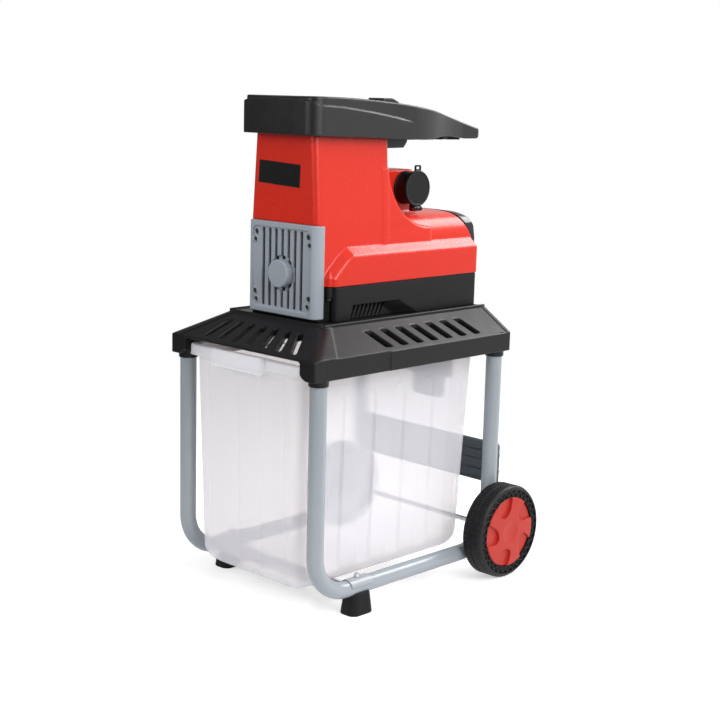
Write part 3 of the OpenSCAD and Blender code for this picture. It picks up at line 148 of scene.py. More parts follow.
RED = finish("red_gloss", (0.71, 0.024, 0.009), 0.28, 0, 0, 0.03, 0.015, Specular_IOR_Level=0.42)
BLACK = finish("black_moulded", (0.008, 0.008, 0.009), 0.42, 240, 0.03, 0.08, Specular_IOR_Level=0.20)
DECK = finish("black_deck", (0.008, 0.008, 0.009), 0.36, 240, 0.03, 0.08, Specular_IOR_Level=0.26)
HOPPER = finish("black_hopper", (0.010, 0.010, 0.011), 0.36, 240, 0.03, 0.08, Specular_IOR_Level=0.44)
GLOSS = finish("black_gloss", (0.008, 0.008, 0.009), 0.18, 120, 0.01, 0.05, 0.02)
CAST = finish("grey_casting", (0.36, 0.395, 0.445), 0.42, 200, 0.04, 0.04, Specular_IOR_Level=0.35)
TUBE = finish("grey_tube_coat", (0.33, 0.365, 0.40), 0.20, 90, 0.010, 0.02, 0.015)
STRUT = finish("pale_strut_coat", (0.36, 0.385, 0.415), 0.28, 120, 0.015, 0.03, 0.02)
STEEL = finish("machined_steel", (0.56, 0.57, 0.59), 0.32, 300, 0.04, 0.08, Metallic=1.0)
ZINC = finish("zinc_plate", (0.60, 0.61, 0.62), 0.34, 240, 0.04, 0.10, Metallic=1.0)
SCREW = finish("dark_screw", (0.03, 0.03, 0.032), 0.40, 240, 0.04, 0.10)
ALUMINIUM = finish("cast_aluminium", (0.58, 0.59, 0.61), 0.45, 240, 0.08, 0.08, Metallic=1.0)
RUBBER = finish("foot_rubber", (0.009, 0.009, 0.010), 0.52, 240, 0.05, 0.12, Specular_IOR_Level=0.14)
TYRE = finish("tyre_plastic", (0.009, 0.009, 0.010), 0.45, 240, 0.05, 0.12, Specular_IOR_Level=0.24)
HUB = finish("red_hub", (0.46, 0.021, 0.012), 0.40, 0, 0, 0.03, 0.015, Specular_IOR_Level=0.35)
COPPER = finish("enamelled_wire", (0.55, 0.20, 0.07), 0.35, 300, 0.30, 0.15, Metallic=1.0)
# Near-black finish with almost no gloss: painted shade for the hollows under the deck's side slots
SHADE_BLACK = finish("painted_shade_black", (0.004, 0.004, 0.0045), 0.80, 0, 0, 0.05, Specular_IOR_Level=0.03)
GREEN = finish("green_button", (0.02, 0.33, 0.06), 0.30, 120, 0.02, 0.05)
BRACE = finish("grey_brace", (0.075, 0.093, 0.105), 0.46, 240, 0.03)
MILKY = finish("milky_box", (0.89, 0.925, 1.0), 0.20, 60, 0.010, 0.01, 0.02, Alpha=0.50, IOR=1.08)
MILKY_IN = finish("milky_box_inside", (1.0, 0.86, 0.81), 0.20, 60, 0.010, 0.0, 0.02, Alpha=0.50, IOR=1.02,
                  Transmission_Weight=0.90)
RIM = finish("milky_rim", (0.95, 0.96, 1.0), 0.24, 60, 0.010, 0.01, 0.02, Alpha=0.72, IOR=1.12,
             Transmission_Weight=0.46)
NODE_FINISH = {
    "red_plastic": RED, "black_plastic": BLACK, "grey_coat": TUBE, "grey_cast": CAST, "steel": STEEL,
    "aluminium": ALUMINIUM, "rubber": RUBBER, "copper": COPPER, "milky_plastic": MILKY,
    "green_plastic": GREEN,
}
for part in frame["record"]["subparts"]:
    node = frame["nodes"][part["node"]]
    node.data.materials.clear()
    node.data.materials.append(NODE_FINISH[part["material_slot"]])
SPECIAL = {"front_strut": STRUT, "foot_bolts": ZINC, "axle_washers": ZINC, "axle_clips": ZINC,
           "brace_screws": ZINC, "cover_screws": SCREW, "housing_screws": SCREW}
for name, material in SPECIAL.items():
    frame["nodes"][name].data.materials[0] = material


# Implicit forms: signed distances in millimetres on a regular grid

class Grid:
    def __init__(self, low, high, step):
        self.step = step
        self.low = np.array(low, float)
        axes = [np.arange(a, b + self.step, self.step).astype(F32) for a, b in zip(low, high)]
        self.x = axes[0][:, None, None]
        self.y = axes[1][None, :, None]
        self.z = axes[2][None, None, :]
        self.shape = tuple(len(a) for a in axes)


def blend_min(a, b, k):
    h = np.maximum(k - np.abs(a - b), 0) / k
    return np.minimum(a, b) - h * h * (k * 0.25)


def blend_max(a, b, k):
    return -blend_min(-a, -b, k)


def corner(a, b, r):
    """Common part of two forms, with the edge between them rounded to radius r."""
    a = a + r
    b = b + r
    return np.minimum(np.maximum(a, b), 0) + np.hypot(np.maximum(a, 0), np.maximum(b, 0)) - r


def cut(a, b, r):
    """First form less the second, with a rounded edge."""
    return corner(a, -b, r)


def span(v, v0, v1):
    return np.abs(v - (v0 + v1) * 0.5) - (v1 - v0) * 0.5


def rect(u, v, u0, u1, v0, v1, r):
    return corner(span(u, u0, u1), span(v, v0, v1), r)


def polygon(u, v, points):
    """Signed distance to a polygon in two broadcast coordinates."""
    u, v = np.broadcast_arrays(u, v)
    best = np.full(u.shape, 1e9, F32)
    inside = np.zeros(u.shape, bool)
    for (u0, v0), (u1, v1) in zip(points, points[1:] + points[:1]):
        du, dv = u1 - u0, v1 - v0
        t = np.clip(((u - u0) * du + (v - v0) * dv) / (du * du + dv * dv), 0, 1)
        best = np.minimum(best, (u - u0 - t * du) ** 2 + (v - v0 - t * dv) ** 2)
        if dv:
            inside ^= ((v0 > v) != (v1 > v)) & (u < du * (v - v0) / dv + u0)
    return (np.where(inside, -1, 1) * np.sqrt(best)).astype(F32)


def stroke(u, v, start, end, width):
    """Signed distance to a round-ended slot."""
    du, dv = end[0] - start[0], end[1] - start[1]
    t = np.clip(((u - start[0]) * du + (v - start[1]) * dv) / (du * du + dv * dv), 0, 1)
    return np.hypot(u - start[0] - t * du, v - start[1] - t * dv) - width / 2


def curve(a, b, c, d, count):
    t = np.linspace(0, 1, count + 1)[:, None]
    a, b, c, d = (np.array(p, float) for p in (a, b, c, d))
    points = (1 - t) ** 3 * a + 3 * (1 - t) ** 2 * t * b + 3 * (1 - t) * t * t * c + t ** 3 * d
    return [tuple(p) for p in points]


def arc(centre, radius, start, end, count):
    angles = np.radians(np.linspace(start, end, count + 1))
    return [(centre[0] + radius * math.cos(a), centre[1] + radius * math.sin(a)) for a in angles]


CORNERS = [(i, j, k) for i in (0, 1) for j in (0, 1) for k in (0, 1)]


def sample(f, grid, points):
    """Field values at any points, between those of the grid."""
    q = (points - grid.low) / grid.step
    i = np.clip(np.floor(q).astype(np.int64), 0, np.array(f.shape) - 2)
    share = (1 - (q - i), q - i)
    total = 0
    for a, b, c in CORNERS:
        weight = share[a][:, 0] * share[b][:, 1] * share[c][:, 2]
        total = total + weight * f[i[:, 0] + a, i[:, 1] + b, i[:, 2] + c]
    return total


def slope(f, grid, points):
    h = 0.6 * grid.step
    g = np.empty_like(points)
    for axis in range(3):
        d = np.zeros(3)
        d[axis] = h
        g[:, axis] = sample(f, grid, points + d) - sample(f, grid, points - d)
    return g / (2 * h)


def surface_nets(f, grid):
    """Quads that follow the zero level of a sampled field."""
    solid = f < 0
    count = np.zeros(tuple(n - 1 for n in f.shape), np.uint8)
    nx, ny, nz = f.shape
    for i, j, k in CORNERS:
        count += solid[i:nx - 1 + i, j:ny - 1 + j, k:nz - 1 + k]
    cell = np.nonzero((count > 0) & (count < 8))
    index = np.full(count.shape, -1, np.int64)
    index[cell] = np.arange(len(cell[0]))
    total = np.zeros((len(cell[0]), 3))
    hits = np.zeros(len(cell[0]))
    values = {c: f[cell[0] + c[0], cell[1] + c[1], cell[2] + c[2]].astype(float) for c in CORNERS}
    for c in CORNERS:
        for axis in range(3):
            if c[axis]:
                continue
            far = list(c)
            far[axis] = 1
            v0, v1 = values[c], values[tuple(far)]
            crossed = (v0 < 0) != (v1 < 0)
            point = np.repeat(np.array(c, float)[None, :], len(v0), 0)
            point[:, axis] += np.where(crossed, v0 / np.where(crossed, v0 - v1, 1), 0)
            total += point * crossed[:, None]
            hits += crossed
    points = (np.stack(cell, 1) + total / hits[:, None]) * grid.step + grid.low
    quads = []
    shape = np.array(f.shape)
    for a in range(3):
        b, c = (a + 1) % 3, (a + 2) % 3
        low = [slice(None)] * 3
        high = [slice(None)] * 3
        low[a] = slice(0, -1)
        high[a] = slice(1, None)
        edge = np.stack(np.nonzero(solid[tuple(low)] != solid[tuple(high)]), 1)
        for d in (b, c):
            edge = edge[(edge[:, d] > 0) & (edge[:, d] < shape[d] - 1)]
        first = solid[edge[:, 0], edge[:, 1], edge[:, 2]]
        ring = []
        for db, dc in ((-1, -1), (0, -1), (0, 0), (-1, 0)):
            q = edge.copy()
            q[:, b] += db
            q[:, c] += dc
            ring.append(index[q[:, 0], q[:, 1], q[:, 2]])
        ring = np.stack(ring, 1)
        ring[~first] = ring[~first][:, ::-1]
        quads.append(ring)
    return points, np.concatenate(quads)


def settle(f, grid, points):
    """Draws the points onto the zero level."""
    for _ in range(2):
        g = slope(f, grid, points)
        move = -sample(f, grid, points)[:, None] * g / np.maximum((g * g).sum(1), 0.25)[:, None]
        size = np.maximum(np.linalg.norm(move, axis=1), 1e-9)
        points = points + move * np.minimum(1, 0.5 * grid.step / size)[:, None]
    return points


def add_object(name, data):
    obj = bpy.data.objects.new(name, data)
    bpy.context.scene.collection.objects.link(obj)
    return obj


def mesh_object(name, points, quads, ends=()):
    """Mesh in metres from points in millimetres, an array of quads and any longer rings."""
    mesh = bpy.data.meshes.new(name)
    mesh.vertices.add(len(points))
    place = (np.asarray(points, float) - [0, MID_STATION, 0]) / 1000
    mesh.vertices.foreach_set("co", place.astype(F32).ravel())
    flat = np.concatenate([quads.ravel(), *ends]).astype(np.int32)
    sizes = np.append(np.full(len(quads), 4), [len(r) for r in ends])
    mesh.loops.add(len(flat))
    mesh.loops.foreach_set("vertex_index", flat)
    mesh.polygons.add(len(sizes))
    mesh.polygons.foreach_set("loop_start", np.concatenate([[0], np.cumsum(sizes)[:-1]]).astype(np.int32))
    mesh.update(calc_edges=True)
    mesh.validate()
    mesh.polygons.foreach_set("use_smooth", np.ones(len(mesh.polygons), bool))
    return add_object(name, mesh)


def dress(obj, material, body, slot, *nodes):
    """Gives a piece its finish, the body that it rides on and the nodes that it stands for."""
    obj.data.materials.clear()
    obj.data.materials.append(material)
    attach(obj, body)
    if nodes:
        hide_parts(*nodes)


def applied(obj):
    """Bakes the object's modifiers into its mesh."""
    tree = bpy.context.evaluated_depsgraph_get()
    mesh = bpy.data.meshes.new_from_object(obj.evaluated_get(tree))
    obj.modifiers.clear()
    old = obj.data
    obj.data = mesh
    bpy.data.meshes.remove(old)
    return mesh


def array_of(items, name, width, kind=F32):
    values = np.empty(len(items) * width, kind)
    items.foreach_get(name, values)
    return values.reshape(-1, width) if width > 1 else values


def shade(mesh, f, grid):
    """Corner normals from the field's slope; large flat faces keep their own."""
    near = math.cos(math.radians(2))
    points = array_of(mesh.vertices, "co", 3).astype(float) * 1000 + [0, MID_STATION, 0]
    g = slope(f, grid, points)
    g /= np.maximum(np.linalg.norm(g, axis=1), 1e-9)[:, None]
    normal = array_of(mesh.polygons, "normal", 3)
    area = array_of(mesh.polygons, "area", 1)
    vertex = array_of(mesh.loops, "vertex_index", 1, np.int32)
    face = np.repeat(np.arange(len(area)), array_of(mesh.polygons, "loop_total", 1, np.int32))
    big = area > 4 * (grid.step / 1000) ** 2
    order = np.argsort(area[face], kind="stable")
    order = order[big[face[order]]]
    largest = np.full(len(points), -1, np.int64)
    largest[vertex[order]] = face[order]
    bent = g.copy()
    beside = largest >= 0
    flat = normal[largest[beside]]
    off = (flat * g[beside]).sum(1) < near
    bent[beside] = np.where(off[:, None], flat, g[beside])
    result = bent[vertex]
    own = big[face] & ((normal[face] * g[vertex]).sum(1) < near)
    result[own] = normal[face[own]]
    mesh.polygons.foreach_set("use_smooth", np.ones(len(area), bool))
    mesh.normals_split_custom_set([tuple(v) for v in result.tolist()])


def merge_flats(obj, tile):
    """Merges flat neighbours inside each tile of space, so that no merged face grows large."""
    cell = np.floor(array_of(obj.data.polygons, "center", 3) / tile).astype(int)
    parity = (cell % 2) @ np.array([1, 2, 4])
    obj.data.polygons.foreach_set("material_index", parity.astype(np.int32))
    thin = obj.modifiers.new("flat", "DECIMATE")
    thin.decimate_type = "DISSOLVE"
    thin.angle_limit = math.radians(0.25)
    thin.delimit = {"MATERIAL"}
    mesh = applied(obj)
    mesh.polygons.foreach_set("material_index", np.zeros(len(mesh.polygons), np.int32))


def form(name, grid, f, material, body, slot, *nodes):
    """Piece whose surface is the zero level of a field."""
    f = np.ascontiguousarray(np.broadcast_to(f, grid.shape), F32)
    points, faces = surface_nets(f, grid)
    obj = mesh_object(name, settle(f, grid, points), faces)
    dress(obj, material, body, slot, *nodes)
    merge_flats(obj, 16 * grid.step / 1000)
    shade(obj.data, f, grid)


# Red upper housing

def column_half(z):
    lean = (COLUMN_HALF - COLUMN_TOP_HALF) / (COLUMN_TOP - COVER_TOP)
    return COLUMN_HALF - np.maximum(z - COVER_TOP, 0) * lean


def crown(x, z, grow):
    """Cross-section of the motor hump: flat flanks, soft shoulders and a slightly raised top."""
    return blend_max(x - COLUMN_HALF - grow, z - (CREST_Z + grow - x * x / 900), 40)


def hump_slope(y, z):
    return ((y - 456) * 50 + (z - CREST_Z) * 32) / 59.4


def flare_outline(y, z):
    """Side outline of the widened lower part: slanted front, level top."""
    below, behind = 540, 540
    points = [(FLARE_FRONT, below), (FLARE_FRONT, 589), (112, 598), (136, 620), (148, FLARE_Z),
              (behind, FLARE_Z), (behind, below)]
    return polygon(y, z, points)


def upper_housing():
    g = Grid((-110, 66, SPLIT_Z - 5), (110, 496, COLUMN_TOP + 6), 1.6)
    x, y, z = np.abs(g.x), g.y, g.z
    half = column_half(z)
    column = corner(x - half, span(y, COLUMN_FRONT, COLUMN_REAR), 11)
    saddle = np.maximum(span(y, HUMP_FRONT, SADDLE_REAR), z - SADDLE_TOP)
    bay = SADDLE_RADIUS - np.hypot(y - SADDLE_REAR, z - SADDLE_TOP)
    saddle = corner(blend_max(saddle, bay, 3), x - half, 4)
    hump = corner(crown(x, z, 0), span(y, HUMP_FRONT, REAR), 4)
    hump = corner(hump, hump_slope(y, z), 2)
    pod = corner(rect(y, z, 225, INLET_Y + 35, 600, INLET_Z + 34, 22), span(g.x, -28, 24), 4)
    body = blend_min(blend_min(column, saddle, 4), hump, 5)
    body = blend_min(body, pod, 5)
    outline = flare_outline(y, z)
    rise, run = FLARE_TOP - FLARE_Z, FLARE_HALF - COLUMN_HALF
    bevel = (outline * run + (x - FLARE_HALF) * rise) / math.hypot(rise, run)
    flare = blend_max(x - FLARE_HALF, bevel, 3.5)
    flare = np.maximum(corner(flare, y - REAR, 5), 83 - x)
    body = blend_min(body, flare, 2)
    hollow = np.maximum(body + WALL, COVER_BACK + 3 - y)
    shell = np.maximum(body, -hollow)
    tip = np.clip(z - 591, 0, 12) * 0.46
    pillar = np.maximum(np.hypot(x - PILLAR_X, y - PILLAR_Y) - (5.5 - tip), z - 603)
    shell = blend_min(shell, pillar, 2)
    shell = corner(shell, span(z, SPLIT_Z + 0.4, COLUMN_TOP), 0.8)
    front = np.maximum(y - COVER_BACK, z - COVER_TOP - 0.3)
    shell = cut(shell, front, 0.6)
    window = np.maximum(rect(g.x, z, *WINDOW, 2), y - 90)
    shell = np.maximum(shell, -window)
    inlet = np.maximum(np.hypot(y - INLET_Y, z - INLET_Z) - 25.3, span(g.x, 5, 40))
    shell = cut(shell, inlet, 0.8)
    screw = np.maximum(np.hypot(y - ADJUSTER_Y, z - AXIS_Z) - 7, g.x + 95)
    shell = np.maximum(shell, -screw)
    panel = np.maximum(rect(g.x, z, -PANEL_HALF, PANEL_HALF, 596, 638, 3), 478 - y)
    shell = np.maximum(shell, -panel)
    form("upper_shell", g, shell, RED, "base", "red_plastic", "upper_housing")


# Black lower housing

def lower_plan(x, y):
    front = rect(x, y, -COLUMN_HALF, COLUMN_HALF, COVER_BACK, 150, 3)
    rear = rect(x, y, -FLARE_HALF, FLARE_HALF, FLARE_FRONT, REAR, 9)
    return blend_min(front, rear, 2)


def lower_housing():
    g = Grid((-110, 72, PLATE_Z - 4), (110, 494, SPLIT_Z + 4), 1.5)
    x, y, z = np.abs(g.x), g.y, g.z
    plan = lower_plan(x, y)
    shell = corner(plan, span(z, PLATE_Z + 0.2, SPLIT_Z), 0.8)
    shell = np.maximum(shell, -np.maximum(plan + WALL, PLATE_Z + 3 - z))
    deep, top, below = 13.0, 540, PLATE_Z - 3
    outline = polygon(y, z, [(138, below), (147, top), (270, top), (324, below)])
    ramp_at = 220 + (top - z) * 1.75
    depth = deep * np.clip(1.0 - (y - ramp_at) / 50, 0, 1)
    backing = np.maximum(outline - WALL, span(x, FLARE_HALF - deep - WALL, FLARE_HALF - 1))
    shell = np.minimum(shell, corner(backing, PLATE_Z + 0.2 - z, 0.5))
    pocket = np.maximum(outline, FLARE_HALF - depth - x)
    shell = cut(shell, pocket, 0.7)
    blind_end = FLARE_HALF - deep - WALL + 1.2
    for i in range(9):
        start = 146 + 10.4 * i
        slat = stroke(y, z, (start, PLATE_Z + 4), (start + 8, PLATE_Z + 23), 5.4)
        shell = cut(shell, np.maximum(slat, blind_end - x), 0.5)
    stub = corner(np.hypot(x - PILLAR_X, y - PILLAR_Y) - 6, span(z, SPLIT_Z - 20, SPLIT_Z), 2)
    shell = blend_min(shell, stub, 2)
    for y0 in (257, 413):
        cradle = corner(rect(x, y, -50, 50, y0, y0 + 10, 1), span(z, PLATE_Z, PLATE_Z + 40), 1)
        shell = np.minimum(shell, np.maximum(cradle, 70.3 - np.hypot(g.x, z - AXIS_Z)))
    window = np.maximum(rect(g.x, z, *WINDOW, 2), y - 90)
    shell = np.maximum(shell, -window)
    chute = rect(g.x, y, *CHUTE, 2)
    shell = np.maximum(shell, -np.maximum(chute, z - PLATE_Z - 6))
    form("lower_shell", g, shell, BLACK, "base", "black_plastic", "lower_housing", "housing_floor")


# Cast bearing cover

def bearing_cover():
    g = Grid((-92, 57, COVER_Z - 3), (92, 94, COVER_TOP + 3), 1.1)
    x, y, z = np.abs(g.x), g.y, g.z
    plan = rect(x, y, -COVER_HALF, COVER_HALF, COVER_FRONT, 140, 13)
    plate = corner(plan, span(z, COVER_Z, COVER_TOP), 2.2)
    plate = corner(plate, y - 90, 0.6)
    plate = np.maximum(plate, -np.maximum(x - COLUMN_HALF - 0.25, COVER_BACK - y))
    field = rect(g.x, z, -76, 76, 528, 672, 11)
    plate = cut(plate, np.maximum(field, y - 71.2), 0.7)
    boss_face = 60
    for i in range(SLOTS):
        middle = (i - 3) * 16.4
        groove = rect(g.x, z, middle - 3.4, middle + 3.4, 530, 670, 1.2)
        plate = cut(plate, np.maximum(groove, boss_face - y), 0.6)
    radius = np.hypot(g.x, z - AXIS_Z)
    plate = cut(plate, np.maximum(radius - 31.5, y - 75.6), 0.8)
    boss = corner(radius - 25, span(y, boss_face, 79), 1.6)
    plate = np.minimum(plate, boss)
    for side in (-1, 1):
        for end in (-1, 1):
            for pair in (0, 1):
                hole = np.hypot(g.x - side * (67 + 3 * pair), z - 600 - end * (61 - 14 * pair))
                wide = 5.0 if (end > 0) == (pair == 0) else 4.4
                plate = cut(plate, np.maximum(hole - wide, y - 75), 0.6)
                rim = corner(np.abs(hole - wide - 0.9) - 0.9, span(y, 69.6, 72), 0.6)
                plate = blend_min(plate, rim, 0.8)
    form("cast_cover", g, plate, CAST, "base", "grey_cast", "bearing_cover")
    # Black sheet behind the cover's through-slots: painted shade standing in for the dark inside the slots
    b = Grid((-80, 74.5, 524), (80, 80.5, 676), 1.2)
    sheet = corner(rect(b.x, b.z, -77, 77, 527, 673, 10), span(b.y, 76.2, 77.9), 0.3)
    form("cover_slot_shade", b, sheet, BLACK, "base", "black_plastic")


# Vented deck

def deck_plane(out, z, run):
    """Plane of a sloped panel, from the skirt's top edge inwards."""
    rise = PLATE_Z - SKIRT_Z
    return (out * rise + (z - SKIRT_Z) * run) / math.hypot(rise, run)


def deck_solid(x, y, z):
    """Skirt, sloped panels sunk between rounded hips, and top plate of the deck."""
    step = np.where(y < 157, 1.6, 0.0)
    skirt = np.maximum(x - DECK_HALF + step, span(y, DECK_FRONT, DECK_REAR))
    skirt = np.maximum(skirt, (x - DECK_HALF + DECK_FRONT - y + 4) / math.sqrt(2))
    side_field = polygon(x, y, [(124, 75), (124, 480), (200, 480), (200, 19)])
    front_field = polygon(x, y, [(-104, 55), (104, 55), (170, -36), (-170, -36)])
    side = deck_plane(x - DECK_HALF, z, DECK_HALF - LIP_HALF)
    side = side + SUNK * np.clip(0.5 - side_field / 1.6, 0, 1)
    front = deck_plane(DECK_FRONT - y, z, LIP_FRONT - DECK_FRONT)
    front = front + SUNK * np.clip(0.5 - front_field / 1.6, 0, 1)
    top = blend_max(blend_max(side, front, 9), z - PLATE_Z, 1.5)
    return corner(skirt, top, 1.4)


def side_slots(x, y):
    """Slanted slots with square ends in the side panels."""
    middles = [145.5 + 39.8 * i + 0.47 * (x - 140) for i in range(SLOTS)]
    ends = span(x, 141, 180)
    return np.minimum.reduce([corner(ends, (np.abs(y - m) - 9.0) * 0.9, 2.5) for m in middles])


def front_slots(x, y):
    """Slots fanned out in the front panel."""
    near, far = -15, 34
    shares = [(i - 3) / 3 for i in range(SLOTS)]
    middles = [s * 93 + (10 + s * 23) * (far - y) / 50 for s in shares]
    ends = span(y, near, far)
    return np.minimum.reduce([corner(ends, (np.abs(x - m) - 6.8) * 0.9, 2.5) for m in middles])


def deck():
    g = Grid((-196, -32, DECK_Z - 14), (196, 496, PLATE_Z + 8), 1.7)
    x, y, z = np.abs(g.x), g.y, g.z
    body = deck_solid(x, y, z)
    beside = side_slots(x, y)
    slots = np.minimum(beside, front_slots(g.x, y))
    shell = np.maximum(body, -(body + WALL))
    shell = corner(shell, DECK_Z - z, 0.8)
    deep = np.where(y < LIP_FRONT, 13.0, 8.0)
    collar = np.maximum(np.maximum(body, -(body + deep)), slots - 2.5)
    shell = np.minimum(shell, np.maximum(collar, 466 - z))
    for leg_y in (0, LEG_SPAN):
        block = np.maximum(np.maximum(body, 155.5 - x), np.abs(y - leg_y) - 24)
        shell = np.minimum(shell, corner(block, DECK_Z - z, 0.8))
    half = 153.0 + 15 * np.clip((446 - z) / 12, 0, 1) ** 2
    mouth = corner(x - half, np.maximum(z - (SKIRT_Z - 4.5), y + 4), 5)
    shell = cut(shell, mouth, 0.8)
    rail = np.hypot(x - LIP_HALF - 0.5, z - PLATE_Z - 0.2) - 2.8
    rail = np.maximum(rail, np.maximum(LIP_FRONT + 2 - y, y - DECK_REAR + 1))
    brow = np.hypot(y - LIP_FRONT - 0.5, z - PLATE_Z - 0.2) - 2.2
    brow = np.maximum(brow, x - LIP_HALF + 1)
    shell = blend_min(shell, np.minimum(rail, brow), 1.5)
    for leg_y in (0, LEG_SPAN):
        around = np.hypot(x - LEG_X, y - leg_y)
        shell = np.minimum(shell, corner(around - 17.6, span(z, DECK_Z - 10, DECK_Z + 6), 1.0))
        shell = np.maximum(shell, -np.maximum(around - TUBE_D / 2 - 0.05, z - SKIRT_Z))
    low, high, inner, outer, thick = 428.2, 510, 145, 155, 2.5
    shelf = np.minimum(span(z, low, low + thick), np.maximum(span(x, outer - thick, outer), z - high))
    shelf = np.maximum(shelf, np.maximum(span(x, inner, outer), span(z, low, high)))
    shelf = np.maximum(np.maximum(shelf, span(y, 20, 446)), body)
    shell = np.minimum(shell, shelf)
    shell = cut(shell, slots, 0.9)
    chute = rect(g.x, y, *CHUTE, 2)
    shell = np.maximum(shell, -np.maximum(chute, 500 - z))
    form("deck_shell", g, shell, DECK, "base", "black_plastic", "deck")
    # Dark trays under the side slots: painted shade standing in for the shadow inside the slots
    shade_tray = np.maximum(np.maximum(body + 7, -(body + 13)), np.maximum(beside - 2.4, 456 - z))
    form("slot_shade_trays", g, shade_tray, SHADE_BLACK, "base", "black_plastic")


# Hopper with its handle

def hopper_plan(x, y):
    right = [(0, HOPPER_FRONT), (45, HOPPER_FRONT + 0.7)]
    right += arc((HOPPER_HALF - 25, HOPPER_FRONT + 27), 25, -86, 0, 12)
    right += curve((HOPPER_HALF, 300), (HOPPER_HALF, 385), (70, 390), (61, 480), 24)
    right += arc((49, HOPPER_REAR - 12), 12, 0, 90, 8)
    left = [(-u, v) for u, v in reversed(right[1:])]
    return polygon(x, y, right + left)


def hopper_side(y, z):
    below = 790
    outline = [(HOPPER_FRONT, below), (HOPPER_FRONT, 897)]
    outline += curve((60, HOPPER_TOP), (245, HOPPER_TOP), (390, 884), (518, 851), 24)
    outline += arc((HOPPER_REAR - 11, HOPPER_Z + 4), 11, 50, -90, 8)
    outline += [(HOPPER_REAR - 11, below)]
    return polygon(y, z, outline)


def ledge_height(x, y):
    """Top of the proud lower skirt: highest in the middle of the front, sinking along the sides."""
    side = np.interp(y, (48, 72, 122, 193, 240, 296, 330), (893, 887.5, 885, 877.5, 871, 862, 855))
    arch = 898.5 - 5.5 * (x / HOPPER_HALF) ** 2
    share = np.clip((66 - y) / 16, 0, 1)
    return side * (1 - share) + arch * share


def funnel(x, y, z, grow):
    t = (z - 847) / 57
    half = 60.5 + 19.5 * t + grow
    return rect(x, y, -half, half, 92 - 20 * t - grow, 214 + 73 * t + grow, 9)


def hopper():
    g = Grid((-102, 42, 806), (102, 538, 908), 1.6)
    x, y, z = np.abs(g.x), g.y, g.z
    plan = hopper_plan(g.x, y)
    tall = hopper_side(y, z)
    inset = (3.4 + 2.1 * np.clip((84 - y) / 24, 0, 1)) * np.clip((306 - y) / 60, 0, 1)
    rim = corner(plan + inset, tall, 3)
    skirt = corner(corner(plan, tall, 3), z - ledge_height(x, y), 2.5)
    body = np.minimum(rim, skirt)
    shell = np.maximum(body, -(body + WALL))
    hole = funnel(x, y, z, 0)
    cone = np.maximum(funnel(x, y, z, 4.2), body + 0.5)
    shell = np.minimum(shell, np.maximum(cone, COLUMN_TOP + 0.3 - z))
    shell = cut(shell, hole, 1.5)
    underside = [(40, HOPPER_Z), (HOPPER_FRONT, HOPPER_Z), (328.7, 828.5), (521, 829), (545, 831), (545, 950),
                 (40, 950)]
    shell = corner(shell, polygon(y, z, underside), 1.0)
    arch = 410 - np.hypot(y - 420.7, z - 424)
    shell = corner(shell, arch, 1.0)
    lug = polygon(y, z, [(300, 880), (300, 901.8), (326, 901.8), (342, 896), (346, 880)])
    shell = np.minimum(shell, np.maximum(corner(lug, x - 20, 1.2), -(body + WALL)))
    boss = polygon(y, z, [(259, 890), (343, 890), (343, 823), (334, 812), (259, 811)])
    boss = corner(boss, x - 44, 2.5)
    ring = np.maximum(np.maximum(boss, -(boss + WALL)), np.minimum(z - 840, body + 2))
    shell = np.minimum(shell, ring)
    form("hopper_shell", g, shell, HOPPER, "base", "black_plastic", "hopper")


# Mains inlet

def inlet():
    g = Grid((2, 322, 690), (62, 400, 775), 1.0)
    x, y, z = g.x, g.y, g.z
    radius = np.hypot(y - INLET_Y, z - INLET_Z)
    body = corner(radius - 30, span(x, 24.1, 52), 1.4)
    collar = corner(radius - 31.5, span(x, 24.1, 28), 1.0)
    body = np.minimum(np.minimum(body, collar), np.maximum(radius - 25, span(x, 4, 25)))
    body = cut(body, np.maximum(radius - 26, 30 - x), 0.8)
    pin = np.hypot(x - LID_X, z - LID_Z)
    stem = rect(x, z, LID_X - 10, LID_X, 695, 710, 1)
    for middle in (INLET_Y - 8.4, INLET_Y + 8.4):
        ear = np.maximum(np.minimum(pin - LID_EYE, stem), span(y, middle - 2.7, middle + 2.7))
        body = np.minimum(body, np.maximum(np.maximum(ear, x - 60.4), -1))
    body = np.maximum(body, LID_PIN - pin)
    form("inlet_socket", g, body, BLACK, "base", "black_plastic", "inlet_body")
    g = Grid((49.5, 322, 690), (61.5, 400, 786), 0.9)
    x, y, z = g.x, g.y, g.z
    radius = np.hypot(y - INLET_Y, z - INLET_Z)
    lid = corner(radius - 33.5, span(x, 52.4, 58), 1.4)
    lid = cut(lid, np.maximum(radius - 30, 57.3 - x), 0.5)
    tab = corner(rect(y, z, INLET_Y - 8, INLET_Y + 8, INLET_Z, INLET_Z + 43.5, 3), span(x, 53.3, 57), 0.8)
    lid = np.minimum(lid, np.maximum(tab, 30 - radius))
    eye = stroke(y, z, (INLET_Y - 3, INLET_Z + 38.2), (INLET_Y + 3, INLET_Z + 38.2), 4.6)
    lid = cut(lid, eye, 0.6)
    pin = np.hypot(x - LID_X, z - LID_Z)
    knuckle = np.minimum(pin - LID_EYE, rect(x, z, 52.4, 58, LID_Z, 708, 0.5))
    lid = blend_min(lid, np.maximum(knuckle, span(y, INLET_Y - 5.2, INLET_Y + 5.2)), 1)
    lid = np.maximum(lid, LID_PIN - pin)
    form("socket_lid", g, lid, BLACK, "inlet_lid", "black_plastic", "inlet_lid")


# Control panel on the rear edge

